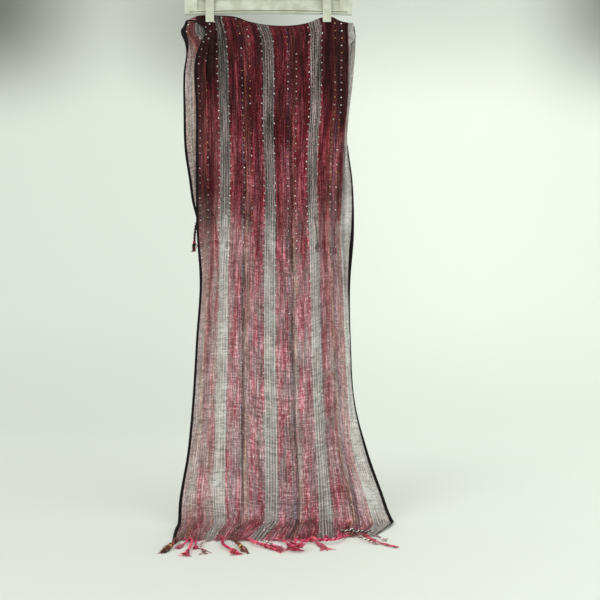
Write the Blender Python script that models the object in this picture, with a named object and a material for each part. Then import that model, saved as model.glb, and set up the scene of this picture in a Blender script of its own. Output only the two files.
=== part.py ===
"""Woven gauze scarf doubled over a white two-clip hanger, its long end reaching the floor.

Metres, +Z up. X runs across the scarf, Y through it, and the viewer stands at -Y. The origin is
the inside top of the hanger's hook, where a rail carries the whole thing.

Places on the cloth are given as it was cut: "cut" is measured across from the left edge, and
"drop" down the cloth from the line where it is doubled over, on the front or on the back.
"""

import math

import bmesh
import bpy
import numpy as np

# Cloth as it was cut
CUT_WIDTH = 0.500
FRONT_LENGTH = 1.247
BACK_LENGTH = 0.435
CLOTH_THICK = 0.0010
EDGE_BAND = 0.0070
SEAM_GAP = 0.0006
BACK_SEAM_GAP = 0.0014
PIECE_GAP = 0.0003

# Where the cloth hangs
FLOOR_Z = -1.2225
FRONT_STANDOFF = 0.0060
BACK_STANDOFF = 0.0085
FOLD_RADIUS = 0.0030
HOOD_RADIUS = 0.0060
HOOD_CURL = 0.0140
ROLL_DEPTH = 0.45
FULL_DEPTH_DROP = 0.070
FLOOR_RIPPLE = 0.0022
MARGIN_FOLD = 0.446

# Hanger
BAR_HALF = 0.184
BAR_HEIGHT = 0.038
BAR_BOTTOM = -0.1185
BAR_DEPTH = 0.0140
FLANGE = 0.0065
WEB = 0.0040
END_BLOCK = 0.026
BAR_BOW = 0.0035
HOOK_INNER_RADIUS = 0.020
HOOK_WIRE_RADIUS = 0.0035
HOOK_ROOT_RADIUS = 0.0085

# Clips
CLIP_X = 0.1285
CLIP_WIDTH = 0.020
CLIP_WALL = 0.0030
CLIP_FOOT = 0.0185
CLIP_RIM = 0.0014
CLIP_RECESS = 0.0007
GRIP_RADIUS = 0.0013
GRIP_REACH = 0.019
GRIP_EASE = 0.017
GRIP_DROP = 0.021

# Fringe
TASSEL_SIDE = 0.0026
TASSEL_TIP_SIDE = 0.0012
STRIP_DEPTH = 0.0024
STRIP_HEIGHT = 0.0018
FLOOR_CLEARANCE = 0.0006
BACK_TASSEL_LENGTH = 0.094
STRIP_SEAM = 0.0008
STRIP_STEP = 0.012
STRAND_GAP = 0.0012
STRAND_STEPS = 5

# Height of the doubled edge over the width of the cloth: it sags between the clips.
DOUBLED_EDGE = {
    "cut": (0.000, 0.027, 0.059, 0.084, 0.156, 0.174, 0.202, 0.245, 0.281, 0.321, 0.355, 0.396, 0.418, 0.500),
    "height": (-0.1354, -0.1257, -0.1225, -0.1229, -0.1288, -0.1345, -0.1398, -0.1452, -0.1455,
               -0.1402, -0.1295, -0.1262, -0.1340, -0.1402),
}

# Where the warp runs across the picture, at drops down the front and down the back.
WARP_CUTS = (0.000, 0.090, 0.214, 0.338, 0.446, 0.500)
SECTION_COLUMNS = ("drop", "left", "grey_1", "grey_2", "grey_3", "white", "right")
FRONT_SECTIONS = (
    (0.000, -0.182, -0.1145, -0.019, 0.099, 0.175, 0.188),
    (0.010, -0.152, -0.1140, -0.013, 0.102, 0.175, 0.180),
    (0.024, -0.140, -0.1110, -0.007, 0.105, 0.175, 0.176),
    (0.050, -0.149, -0.1060, -0.002, 0.104, 0.175, 0.175),
    (0.084, -0.159, -0.1030, -0.001, 0.104, 0.175, 0.175),
    (0.200, -0.158, -0.0980, -0.001, 0.103, 0.172, 0.173),
    (0.270, -0.158, -0.0960, 0.001, 0.098, 0.165, 0.174),
    (0.350, -0.158, -0.0950, 0.004, 0.096, 0.162, 0.184),
    (0.466, -0.156, -0.0970, 0.004, 0.100, 0.157, 0.187),
    (0.576, -0.149, -0.1000, 0.003, 0.104, 0.162, 0.179),
    (0.700, -0.156, -0.1010, 0.003, 0.106, 0.167, 0.180),
    (0.847, -0.164, -0.1040, 0.005, 0.111, 0.174, 0.191),
    (0.943, -0.172, -0.1050, 0.006, 0.117, 0.182, 0.217),
    (1.062, -0.188, -0.1040, 0.008, 0.123, 0.215, 0.257),
    (1.105, -0.187, -0.1000, 0.007, 0.123, 0.222, 0.268),
    (1.165, -0.186, -0.1050, -0.006, 0.123, 0.214, 0.255),
    (1.247, -0.181, -0.1110, -0.025, 0.123, 0.201, 0.224),
)
BACK_SECTIONS = (
    (0.000, -0.182, -0.1145, -0.019, 0.099, 0.175, 0.188),
    (0.028, -0.192, -0.1080, -0.010, 0.102, 0.176, 0.192),
    (0.055, -0.183, -0.1050, -0.004, 0.103, 0.176, 0.192),
    (0.120, -0.188, -0.1000, -0.002, 0.103, 0.174, 0.187),
    (0.200, -0.188, -0.0980, -0.001, 0.102, 0.168, 0.178),
    (0.290, -0.185, -0.0970, 0.000, 0.098, 0.160, 0.170),
    (0.350, -0.176, -0.0970, 0.002, 0.096, 0.155, 0.166),
    (0.400, -0.169, -0.0980, 0.002, 0.096, 0.153, 0.164),
    (0.435, -0.160, -0.0990, 0.002, 0.096, 0.152, 0.163),
)

# How the cloth turns onto the floor: the bend's radius, and the share of the run that lies flat.
FLOOR_TURN = {
    "cut": (0.000, 0.090, 0.214, 0.338, 0.420, 0.500),
    "radius": (0.0210, 0.0170, 0.0105, 0.0090, 0.0220, 0.0120),
    "run": (0.90, 1.00, 1.00, 0.96, 0.60, 0.72),
}

# Crests of the gathers, over the cut width.
FRONT_CRESTS = (0.000, 0.030, 0.058, 0.090, 0.130, 0.174, 0.214, 0.254, 0.298, 0.338, 0.368, 0.394, 0.420,
                0.446, 0.474, 0.500)
BACK_CRESTS = (0.000, 0.046, 0.090, 0.134, 0.176, 0.214, 0.258, 0.300, 0.338, 0.376, 0.412, 0.446, 0.500)
DEEPEST_GATHER = {"front": 0.0052, "back": 0.0042}

# Stretches of the mesh down the cloth: each ends at a drop and has so many rows.
FRONT_STRETCHES = ((0.060, 7), (0.290, 6), (1.020, 10), (1.150, 9), (FRONT_LENGTH, 4))
BACK_STRETCHES = ((0.060, 5), (BACK_LENGTH, 8))

# Tassels of the long end: where each is knotted across the hem, and how far its tip lies from there.
FRONT_TASSELS = {
    "cut": (0.012, 0.038, 0.082, 0.128, 0.170, 0.212, 0.258, 0.300, 0.330, 0.366, 0.408, 0.446, 0.486),
    "aside": (-0.018, 0.012, 0.004, 0.032, 0.028, 0.055, 0.026, 0.000, -0.014, -0.020, -0.030, 0.010, 0.026),
    "ahead": (0.098, 0.102, 0.098, 0.098, 0.092, 0.074, 0.084, 0.080, 0.070, 0.084, 0.076, 0.050, 0.056),
}
BACK_TASSEL_CUTS = (0.014, 0.060, 0.104, 0.146, 0.188, 0.230, 0.272, 0.312, 0.352, 0.392, 0.432, 0.474)

# Colours, as linear red, green and blue
COLOURS = {
    "plastic": (0.66, 0.67, 0.57),
    "gauze": (0.20, 0.035, 0.055),
    "gauze_behind": (0.12, 0.02, 0.035),
    "black_thread": (0.012, 0.011, 0.014),
    "tassel": (0.42, 0.05, 0.08),
}


def clear_scene():
    """Empties the scene before modelling."""
    for obj in list(bpy.data.objects):
        bpy.data.objects.remove(obj, do_unlink=True)


def principled(name, colour, roughness):
    """A Principled material of one colour."""
    material = bpy.data.materials.new(name)
    material.use_nodes = True
    shader = material.node_tree.nodes["Principled BSDF"]
    shader.inputs["Base Color"].default_value = (*colour, 1.0)
    shader.inputs["Roughness"].default_value = roughness
    shader.inputs["Metallic"].default_value = 0.0
    return material


def add_mesh(name, points, faces, material):
    """Makes an object from points and faces."""
    mesh = bpy.data.meshes.new(name)
    mesh.from_pydata([tuple(point) for point in points], [], faces)
    mesh.materials.append(material)
    mesh.validate()
    obj = bpy.data.objects.new(name, mesh)
    bpy.context.scene.collection.objects.link(obj)
    return obj


def add_closed(name, points, faces, material):
    """Makes a closed solid and turns its faces outwards."""
    obj = add_mesh(name, points, faces, material)
    shape = bmesh.new()
    shape.from_mesh(obj.data)
    bmesh.ops.recalc_face_normals(shape, faces=shape.faces)
    shape.to_mesh(obj.data)
    shape.free()
    return obj


def ease(value, start, end):
    """A smooth step from 0 at start to 1 at end."""
    share = np.clip((value - start) / (end - start), 0.0, 1.0)
    return share * share * (3.0 - 2.0 * share)


def curve_through(at, places, values):
    """A smooth curve through values at rising places, read anywhere and held past both ends."""
    places = np.asarray(places, float)
    values = np.asarray(values, float)
    slopes = np.gradient(values, places)
    at = np.clip(at, places[0], places[-1])
    left = np.clip(np.searchsorted(places, at, side="right") - 1, 0, len(places) - 2)
    span = places[left + 1] - places[left]
    share = (at - places[left]) / span
    rest = 1.0 - share
    near = rest * rest * ((1.0 + 2.0 * share) * values[left] + share * span * slopes[left])
    far = share * share * ((3.0 - 2.0 * share) * values[left + 1] - rest * span * slopes[left + 1])
    return near + far


def across(sections, cut, drop):
    """The place across the picture of a point on the cloth, read between the guide warps."""
    table = np.array(sections)
    drops = table[:, SECTION_COLUMNS.index("drop")]
    guides = [curve_through(drop, drops, table[:, column]) for column in range(1, len(SECTION_COLUMNS))]
    place = guides[0]
    for first, start, end in zip(range(len(WARP_CUTS) - 1), WARP_CUTS, WARP_CUTS[1:]):
        share = np.clip((cut - start) / (end - start), 0.0, 1.0)
        place = place + (guides[first + 1] - guides[first]) * share
    return place


def gather(sections, crests, deepest, cut, drop):
    """Depth of the gathers: the narrower the cloth is held, the deeper they are."""
    crests = np.array(crests)
    step = 0.002
    before = across(sections, np.clip(cut - step, 0.0, CUT_WIDTH), drop)
    after = across(sections, np.clip(cut + step, 0.0, CUT_WIDTH), drop)
    width = np.clip(cut + step, 0.0, CUT_WIDTH) - np.clip(cut - step, 0.0, CUT_WIDTH)
    held = np.clip(np.abs(after - before) / width, 0.0, 0.98)
    phase = np.interp(cut, crests, np.arange(len(crests)))
    pitch = np.interp(cut, (crests[:-1] + crests[1:]) / 2.0, np.diff(crests))
    uneven = 0.62 + 0.38 * np.sin(41.0 * cut + 3.1 * drop) * np.cos(17.0 * cut - 4.3 * drop)
    depth = np.minimum(pitch * np.sqrt(1.0 - held) / math.pi, deepest) * uneven
    return depth, np.cos(2.0 * math.pi * phase)


def grip(place):
    """1 where a clip holds the cloth flat, 0 well away from both clips."""
    reach = np.minimum(np.abs(place - CLIP_X), np.abs(place + CLIP_X))
    return 1.0 - ease(reach, GRIP_REACH, GRIP_REACH + GRIP_EASE)


def fold_radius(cut, place):
    """Radius of the doubled edge: flat in the clips, and a loose hood at the left end."""
    loose = FOLD_RADIUS + (HOOD_RADIUS - FOLD_RADIUS) * (1.0 - ease(cut, 0.010, 0.040))
    return GRIP_RADIUS + (loose - GRIP_RADIUS) * (1.0 - grip(place))


def over_the_fold(cut, share):
    """A point on the doubled edge, from share -1 at the back to 1 at the front."""
    sections = BACK_SECTIONS if share < 0.0 else FRONT_SECTIONS
    radius = fold_radius(cut, across(sections, cut, 0.0 * cut))
    turn = share * math.pi / 2.0
    place = across(sections, cut, np.abs(turn) * radius)
    edge = curve_through(cut, DOUBLED_EDGE["cut"], DOUBLED_EDGE["height"])
    return np.stack([place, -radius * math.sin(turn), edge - radius * (1.0 - math.cos(turn))], axis=-1)


def front_point(cut, drop):
    """A point on the middle of the front fall, from below the doubled edge to the hem on the floor.

    The fall is a catenary that ends level with the floor, and the rest of the cloth lies flat.
    """
    place = across(FRONT_SECTIONS, cut, drop)
    held = grip(place)
    radius = fold_radius(cut, place)
    edge = curve_through(cut, DOUBLED_EDGE["cut"], DOUBLED_EDGE["height"])
    bend = curve_through(cut, FLOOR_TURN["cut"], FLOOR_TURN["radius"])
    share = curve_through(cut, FLOOR_TURN["cut"], FLOOR_TURN["run"])
    below_edge = drop - (math.pi / 2.0 - 1.0) * radius
    whole = np.sqrt((edge - FLOOR_Z + bend) ** 2 - bend**2)
    rise = np.maximum(whole - below_edge, 0.0)
    run = np.maximum(below_edge - whole, 0.0) * share
    slant = np.sqrt(bend**2 + rise**2)
    upright = rise / slant
    level = bend / slant
    lean = bend * (np.arcsinh(whole / bend) - np.arcsinh(rise / bend)) * ease(drop, 0.030, 0.200)
    opened = opening(held, drop)
    stand = radius + (FRONT_STANDOFF - radius) * opened
    depth, wave = gather(FRONT_SECTIONS, FRONT_CRESTS, DEEPEST_GATHER["front"], cut, drop)
    calm = 1.0 - ease(cut, 0.370, 0.400) * ease(drop, 0.310, 0.260)
    ripple = FLOOR_RIPPLE * (1.0 - 0.8 * ease(drop, FRONT_LENGTH - 0.060, FRONT_LENGTH))
    out = upright * stand + upright**3 * opened * calm * depth * wave
    out = out + level * (0.5 * CLOTH_THICK + ripple * (1.0 + wave))
    return np.stack([place, -lean - run - upright * out, FLOOR_Z + slant - bend + level * out], axis=-1)


def back_point(cut, drop):
    """A point on the middle of the back fall; its left edge curls forward, its right margin rolls back."""
    place = across(BACK_SECTIONS, cut, drop)
    held = grip(place)
    radius = fold_radius(cut, place)
    edge = curve_through(cut, DOUBLED_EDGE["cut"], DOUBLED_EDGE["height"])
    opened = opening(held, drop)
    depth, wave = gather(BACK_SECTIONS, BACK_CRESTS, DEEPEST_GATHER["back"], cut, drop)
    calm = 1.0 - ease(cut, MARGIN_FOLD - 0.030, MARGIN_FOLD)
    away = radius + (BACK_STANDOFF - radius) * opened - opened * calm * depth * wave
    curl = ease(drop, 0.012, 0.030) * ease(drop, 0.080, 0.040)
    away = away - HOOD_CURL * curl * np.exp(-((cut / 0.013) ** 2))
    turned = 0.02 + (math.pi - 0.02) * ease(drop, 0.005, 0.050)
    fold_place = across(BACK_SECTIONS, MARGIN_FOLD + 0.0 * cut, drop)
    roll = across(BACK_SECTIONS, CUT_WIDTH + 0.0 * cut, drop) - fold_place
    roll = roll / np.sin(np.minimum(turned, math.pi / 2.0))
    turn = np.clip((cut - MARGIN_FOLD) / (CUT_WIDTH - MARGIN_FOLD), 0.0, 1.0) * turned
    place = np.where(cut > MARGIN_FOLD, fold_place + roll * np.sin(turn), place)
    away = away + ROLL_DEPTH * roll * (1.0 - np.cos(turn))
    return np.stack([place, away, edge - drop + (math.pi / 2.0 - 1.0) * radius], axis=-1)


def opening(held, drop):
    """How far the cloth has opened below the doubled edge; it stays pressed flat in a clip."""
    start = 0.005 + (GRIP_DROP - 0.005) * held
    return ease(drop, start, start + FULL_DEPTH_DROP)


def margin_edge(drop):
    """The cut place where the front's right margin is turned under: it opens out lower down."""
    shown = np.maximum(ease(drop, 0.030, 0.0), ease(drop, 0.200, 0.270))
    return MARGIN_FOLD + (CUT_WIDTH - MARGIN_FOLD) * shown


def drops_down(stretches):
    """Row places down the cloth, closer together where it turns."""
    rows = [0.0]
    for end, count in stretches:
        first = rows[-1]
        rows += [first + (end - first) * (step + 1) / count for step in range(count)]
    return np.array(rows)[:, None]


def columns_across(crests, per_fold, left, right):
    """Column places across the cloth, in step with its gathers, between two edges."""
    count = (len(crests) - 1) * per_fold
    places = np.interp(np.arange(count + 1) / per_fold, np.arange(len(crests)), crests)
    inner = places[(places > left + 0.003) & (places < right - 0.003)]
    return np.concatenate([[left], inner, [right]])[None, :]


def below_fold(cut, drop, sections):
    """Moves rows down by the quarter turn of the doubled edge, which is wider at the hood."""
    radius = fold_radius(cut, across(sections, cut, 0.0 * cut))
    return drop + math.pi / 2.0 * radius * ease(drop, 0.100, 0.0)


def front_grid(cut, drop, hold=None):
    """Grid of the front: over the doubled edge, then down to the hem."""
    if hold is not None:
        cut = np.maximum(cut, EDGE_BAND + SEAM_GAP * (1.0 + 2.0 * ease(drop[:1], 0.060, 0.030)))
    behind = back_point(cut, 0.003 + below_fold(cut, 0.0 * cut, BACK_SECTIONS))
    over = [over_the_fold(cut, share) for share in (-1.0, -0.5, 0.0, 0.5)]
    cut = cut + 0.0 * drop
    if hold is not None:
        beyond = np.maximum(cut - hold, 0.0)
        full = CUT_WIDTH - EDGE_BAND - SEAM_GAP
        edge = np.minimum(margin_edge(drop), full)
        cut = np.minimum(cut, hold) + beyond * (edge - hold) / (full - hold)
        cut = np.maximum(cut, EDGE_BAND + SEAM_GAP * (1.0 + 2.0 * ease(drop, 0.060, 0.030)))
    down = front_point(cut, below_fold(cut, drop, FRONT_SECTIONS))
    return np.concatenate([behind, *over, down], axis=0)


def back_grid(cut, drop):
    """Grid of the back, from just under the doubled edge to the short end's hem."""
    start = 0.003 + 2.0 * PIECE_GAP
    shifted = below_fold(cut, drop, BACK_SECTIONS) + start * ease(drop, 0.060, 0.0)
    return back_point(cut + 0.0 * drop, shifted)


def add_wall(name, grid, material):
    """Makes a cloth wall, half its thickness to each side of a grid of points."""
    rows, columns = grid.shape[:2]
    faces = []
    for row in range(rows - 1):
        for column in range(columns - 1):
            corner = row * columns + column
            faces.append((corner, corner + 1, corner + columns + 1, corner + columns))
    obj = add_mesh(name, grid.reshape(-1, 3), faces, material)
    wall = obj.modifiers.new("Cloth thickness", "SOLIDIFY")
    wall.thickness = CLOTH_THICK
    wall.offset = 0.0
    return obj


def build_cloth(gauze, gauze_behind, black_thread):
    """The front fall, the back fall, the margin turned under, and the black edges."""
    seam = EDGE_BAND + SEAM_GAP
    back_seam = EDGE_BAND + BACK_SEAM_GAP
    front_drops = drops_down(FRONT_STRETCHES)
    back_drops = drops_down(BACK_STRETCHES)
    front_cuts = columns_across(FRONT_CRESTS, 4, seam, CUT_WIDTH - seam)
    back_cuts = columns_across(BACK_CRESTS, 3, back_seam, CUT_WIDTH - back_seam)
    add_wall("cloth_front_fall", front_grid(front_cuts, front_drops, hold=0.400), gauze)
    add_wall("cloth_back_fall", back_grid(back_cuts, back_drops), gauze_behind)

    left_edge = np.array([[0.0, EDGE_BAND]])
    right_edge = CUT_WIDTH - left_edge[:, ::-1]
    add_wall("edge_front_left", front_grid(left_edge, front_drops), black_thread)
    lower = front_drops[front_drops[:, 0] > 0.275] + 0.0 * right_edge
    add_wall("edge_front_right", front_point(right_edge + 0.0 * lower, lower), black_thread)
    add_wall("edge_back_left", back_grid(left_edge, back_drops), black_thread)
    add_wall("edge_back_right", back_grid(right_edge, back_drops), black_thread)
    add_wall("margin_turned_under", margin_grid(), gauze_behind)


def margin_grid():
    """The front's right margin, folded in behind the front wall and moved off it along its normal."""
    drop = np.linspace(0.045, 0.245, 9)[:, None]
    width = CUT_WIDTH - margin_edge(drop)
    cut = margin_edge(drop) - 0.001 - width * np.linspace(0.0, 0.9, 5)[None, :]
    step = 0.001
    point = front_point(cut, drop + 0.0 * cut)
    along = front_point(cut + step, drop + 0.0 * cut) - point
    down = front_point(cut, drop + step + 0.0 * cut) - point
    normal = np.cross(along, down)
    normal /= np.linalg.norm(normal, axis=-1, keepdims=True)
    return point + normal * (CLOTH_THICK + 2.0 * PIECE_GAP)


def fringe_marks(tassel_cuts):
    """Places along the hem where the strip has a section, each with the strand that starts there or None."""
    side = TASSEL_SIDE
    marks = []
    for tassel, cut in enumerate(tassel_cuts):
        for strand, start in enumerate((cut - side - 0.5 * STRAND_GAP, cut + 0.5 * STRAND_GAP)):
            marks.append((start, (tassel, strand)))
            marks.append((start + side, None))
    for cut in np.arange(EDGE_BAND * 0.2, CUT_WIDTH, STRIP_STEP):
        if min(abs(cut - tassel_cut) for tassel_cut in tassel_cuts) > 2.0 * side + STRAND_GAP:
            marks.append((cut, None))
    return sorted(marks, key=lambda mark: mark[0])


def add_fringe(name, hem, tassel_cuts, outward, strand_rings, material):
    """A narrow strip along a hem, with the strands drawn out of its outer face.

    Each section of the strip has its inner side first: low, high, then the outer side high, low.
    """
    marks = fringe_marks(tassel_cuts)
    points = []
    faces = [(3, 2, 1, 0)]
    for cut, _ in marks:
        across_strip = np.cross(outward, hem(cut + 0.0005) - hem(cut - 0.0005))
        across_strip /= np.linalg.norm(across_strip)
        seam = hem(cut) + outward * STRIP_SEAM
        for reach, lift in ((0.0, -0.5), (0.0, 0.5), (1.0, 0.5), (1.0, -0.5)):
            points.append(seam + outward * STRIP_DEPTH * reach + across_strip * STRIP_HEIGHT * lift)
    last = 4 * (len(marks) - 1)
    faces.append((last, last + 1, last + 2, last + 3))
    for section, (_, strand) in enumerate(marks[:-1]):
        near = 4 * section
        far = near + 4
        for side in range(4):
            after = (side + 1) % 4
            if side != 2 or strand is None:
                faces.append((near + side, near + after, far + after, far + side))
        if strand is None:
            continue
        ring = [near + 2, near + 3, far + 3, far + 2]
        corners = np.array([points[index] for index in ring])
        centre = corners.mean(axis=0)
        for offset, size in strand_rings(strand, centre):
            fresh = [len(points) + index for index in range(4)]
            points += [centre + offset + (corner - centre) * size for corner in corners]
            faces += [(ring[side], ring[side - 3], fresh[side - 3], fresh[side]) for side in range(4)]
            ring = fresh
        faces.append(tuple(ring))
    return add_closed(name, points, faces, material)


def floor_strand(strand, root):
    """Sections of one strand of the long end's fringe, which lies along the floor."""
    tassel, twin = strand
    aside = FRONT_TASSELS["aside"][tassel] + 0.004 * (2 * twin - 1)
    ahead = FRONT_TASSELS["ahead"][tassel] * (1.0 - 0.08 * twin)
    sway = 0.004 * math.sin(2.4 * tassel + 0.6)
    rings = []
    for step in range(1, STRAND_STEPS + 1):
        share = step / STRAND_STEPS
        size = 1.0 + (TASSEL_TIP_SIDE / TASSEL_SIDE - 1.0) * share
        rest_z = FLOOR_Z + FLOOR_CLEARANCE + 0.5 * STRIP_HEIGHT * size
        x = aside * ease(share, 0.0, 1.1) + sway * math.sin(math.pi * share)
        z = (rest_z - root[2]) * ease(share, 0.0, 0.4)
        rings.append((np.array([x, -ahead * share, z]), size))
    return rings


def hanging_strand(strand, root):
    """Sections of one strand of the short end's fringe, which hangs straight down."""
    tassel, twin = strand
    length = BACK_TASSEL_LENGTH * (1.0 - 0.06 * twin - 0.05 * math.sin(1.7 * tassel))
    aside = 0.003 * (2 * twin - 1) + 0.004 * math.sin(2.1 * tassel)
    rings = []
    for step in range(1, STRAND_STEPS + 1):
        share = step / STRAND_STEPS
        size = 1.0 + (TASSEL_TIP_SIDE / TASSEL_SIDE - 1.0) * share
        rings.append((np.array([aside * share, 0.0, -length * share]), size))
    return rings


def build_fringes(tassel):
    """One fringe along the hem on the floor, and one along the hem of the short end behind."""
    def floor_hem(cut):
        point = front_point(np.array([cut]), np.array([FRONT_LENGTH]))[0]
        return np.array([point[0], point[1], FLOOR_Z + 0.0003 + 0.5 * STRIP_HEIGHT])

    def back_hem(cut):
        return back_point(np.array([cut]), np.array([BACK_LENGTH]))[0]

    forward, down = np.array([0.0, -1.0, 0.0]), np.array([0.0, 0.0, -1.0])
    add_fringe("fringe_front_hem", floor_hem, FRONT_TASSELS["cut"], forward, floor_strand, tassel)
    add_fringe("fringe_back_hem", back_hem, BACK_TASSEL_CUTS, down, hanging_strand, tassel)


def add_loft(name, sections, material):
    """A closed solid through sections that all have as many points, with flat ends."""
    count = len(sections[0])
    points = [point for section in sections for point in section]
    last = len(points) - count
    faces = [tuple(range(count))[::-1], tuple(last + index for index in range(count))]
    for start in range(0, last, count):
        for index in range(count):
            after = (index + 1) % count
            faces.append((start + index, start + after, start + count + after, start + count + index))
    return add_closed(name, points, faces, material)


def bar_base(x):
    """Height of the bar's lower edge: the bar is slightly bowed, lower at its ends."""
    return BAR_BOTTOM - BAR_BOW * (x / BAR_HALF) ** 2


def bar_section(x, web):
    """Outline of the bar at a place along it: two flanges and a web of a given thickness."""
    half = 0.5 * BAR_DEPTH
    low = bar_base(x)
    side = [(half, 0.0), (half, FLANGE), (web, FLANGE), (web, BAR_HEIGHT - FLANGE),
            (half, BAR_HEIGHT - FLANGE), (half, BAR_HEIGHT)]
    outline = [(-y, z) for y, z in side] + [(y, z) for y, z in reversed(side)]
    return [(x, y, low + z) for y, z in outline]


def build_bar(plastic):
    """The bar: an I-shaped section between two solid end blocks."""
    thin = 0.5 * WEB
    solid = 0.5 * BAR_DEPTH - 0.0005
    inner = BAR_HALF - END_BLOCK
    places = [(-BAR_HALF, solid), (-inner, solid)]
    places += [(x, thin) for x in np.linspace(-inner + 0.0004, inner - 0.0004, 9)]
    places += [(inner, solid), (BAR_HALF, solid)]
    add_loft("hanger_bar", [bar_section(x, web) for x, web in places], plastic)


def hook_route():
    """Centre line of the hook, from its tip over the top and down to the bar, with each place's radius."""
    ring = HOOK_INNER_RADIUS + HOOK_WIRE_RADIUS
    middle = -HOOK_INNER_RADIUS
    route = []
    for angle in np.radians(np.linspace(203.0, -60.0, 20)):
        route.append((ring * math.cos(angle), middle + ring * math.sin(angle), HOOK_WIRE_RADIUS))
    tip_x, tip_z, _ = route[0]
    route.insert(0, (tip_x + 0.0006, tip_z - 0.0016, 0.6 * HOOK_WIRE_RADIUS))
    start = np.array(route[-1][:2])
    stem = np.array([0.0, -0.064])
    leave = np.array([-math.sin(math.radians(60.0)), -math.cos(math.radians(60.0))]) * 0.030
    arrive = np.array([0.0, -0.030])
    for share in np.linspace(0.0, 1.0, 6)[1:]:
        rest = 1.0 - share
        place = rest**2 * (1.0 + 2.0 * share) * start + share * rest**2 * leave
        place = place + share**2 * (3.0 - 2.0 * share) * stem - share**2 * rest * arrive
        route.append((place[0], place[1], HOOK_WIRE_RADIUS))
    foot = BAR_BOTTOM + BAR_HEIGHT + PIECE_GAP
    route.append((0.0, foot + 0.009, HOOK_WIRE_RADIUS))
    route.append((0.0, foot + 0.004, 0.5 * (HOOK_WIRE_RADIUS + HOOK_ROOT_RADIUS)))
    route.append((0.0, foot, 0.8 * HOOK_ROOT_RADIUS))
    return route


def build_hook(plastic):
    """The moulded hook: a round rod bent in the bar's own plane, flared where it meets the bar."""
    route = hook_route()
    sides = 8
    sections = []
    for index, (x, z, radius) in enumerate(route):
        before = route[max(index - 1, 0)]
        after = route[min(index + 1, len(route) - 1)]
        heading = math.atan2(after[1] - before[1], after[0] - before[0])
        if index == len(route) - 1:
            heading = -math.pi / 2.0
        section = []
        for side in range(sides):
            angle = 2.0 * math.pi * (side + 0.5) / sides
            sideways = radius * math.cos(angle)
            section.append((x - math.sin(heading) * sideways, radius * math.sin(angle),
                            z + math.cos(heading) * sideways))
        sections.append(section)
    add_loft("hanger_hook", sections, plastic)


def clip_section(x, base, recess):
    """Outline of a clip at a place across it: a saddle over the bar whose feet close on the cloth."""
    half = 0.5 * BAR_DEPTH
    inside = half + PIECE_GAP
    outside = inside + CLIP_WALL
    jaw = GRIP_RADIUS + 0.5 * CLOTH_THICK + PIECE_GAP
    top = BAR_HEIGHT + PIECE_GAP
    foot = -CLIP_FOOT
    right = [(jaw, foot), (jaw + CLIP_WALL, foot), (outside, -0.0020), (outside, top + 0.0020),
             (outside - 0.0020, top + CLIP_WALL + 0.0010)]
    back = [(-y, z) for y, z in right]
    front = [(y - recess if index in (1, 2, 3) else y, z) for index, (y, z) in enumerate(right)]
    slot = [(inside, -PIECE_GAP), (inside, top)]
    outline = [(-y, z) for y, z in front] + [(-y, z) for y, z in reversed(back)]
    outline += [(jaw, -PIECE_GAP), *slot, *[(-y, z) for y, z in reversed(slot)], (-jaw, -PIECE_GAP)]
    return [(x, y, base + z) for y, z in outline]


def build_clips(plastic):
    """Two moulded clips astride the bar, with raised side rims on the front."""
    half = 0.5 * CLIP_WIDTH
    steps = ((-half, 0.0), (-half + CLIP_RIM, 0.0), (-half + CLIP_RIM + 0.0003, CLIP_RECESS),
             (half - CLIP_RIM - 0.0003, CLIP_RECESS), (half - CLIP_RIM, 0.0), (half, 0.0))
    for name, middle in (("clip_left", -CLIP_X), ("clip_right", CLIP_X)):
        sections = [clip_section(middle + x, bar_base(middle + x), recess) for x, recess in steps]
        add_loft(name, sections, plastic)


def main():
    """Builds the scarf and its hanger."""
    clear_scene()
    plastic = principled("white_plastic", COLOURS["plastic"], 0.42)
    gauze = principled("striped_gauze", COLOURS["gauze"], 0.85)
    gauze_behind = principled("striped_gauze_behind", COLOURS["gauze_behind"], 0.85)
    black_thread = principled("black_edge_thread", COLOURS["black_thread"], 0.80)
    tassel = principled("tassel_yarn", COLOURS["tassel"], 0.80)
    build_bar(plastic)
    build_hook(plastic)
    build_clips(plastic)
    build_cloth(gauze, gauze_behind, black_thread)
    build_fringes(tassel)


main()
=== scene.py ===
# %% [markdown]
# # A woven gauze scarf on a two-clip hanger
#
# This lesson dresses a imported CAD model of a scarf. The CAD solids are plain walls; here they get
# thin see-through gauze with warp stripes, black selvedges, glinting flecks and twisted tassels,
# and the hanger gets its moulded plastic pieces. Everything is in metres, with +Z up, and the
# viewer of the front stands at -Y. The origin is the inside top of the hanger's hook.

# %% Load the frame
import math
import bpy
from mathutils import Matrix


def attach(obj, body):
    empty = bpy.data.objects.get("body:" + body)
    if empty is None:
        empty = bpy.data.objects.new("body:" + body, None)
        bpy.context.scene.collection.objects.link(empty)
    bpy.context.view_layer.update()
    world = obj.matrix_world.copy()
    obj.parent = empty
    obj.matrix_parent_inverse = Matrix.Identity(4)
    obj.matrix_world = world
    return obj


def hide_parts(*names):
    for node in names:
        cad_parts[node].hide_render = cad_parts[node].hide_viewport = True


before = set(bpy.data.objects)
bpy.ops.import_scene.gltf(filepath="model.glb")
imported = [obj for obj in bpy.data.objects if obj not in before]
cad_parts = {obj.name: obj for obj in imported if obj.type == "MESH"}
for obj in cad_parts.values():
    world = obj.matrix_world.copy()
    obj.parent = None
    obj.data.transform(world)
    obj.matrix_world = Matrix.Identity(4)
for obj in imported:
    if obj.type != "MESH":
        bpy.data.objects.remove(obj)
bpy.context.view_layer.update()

from types import SimpleNamespace

import bmesh
import bpy
import numpy as np

# %% [markdown]
# ## Camera
#
# The photograph was taken level with the middle of the scarf, from about two metres, a little to
# the right of the hanger. A level camera keeps the upright lines parallel, so the long cloth
# doesn't lean.

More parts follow.
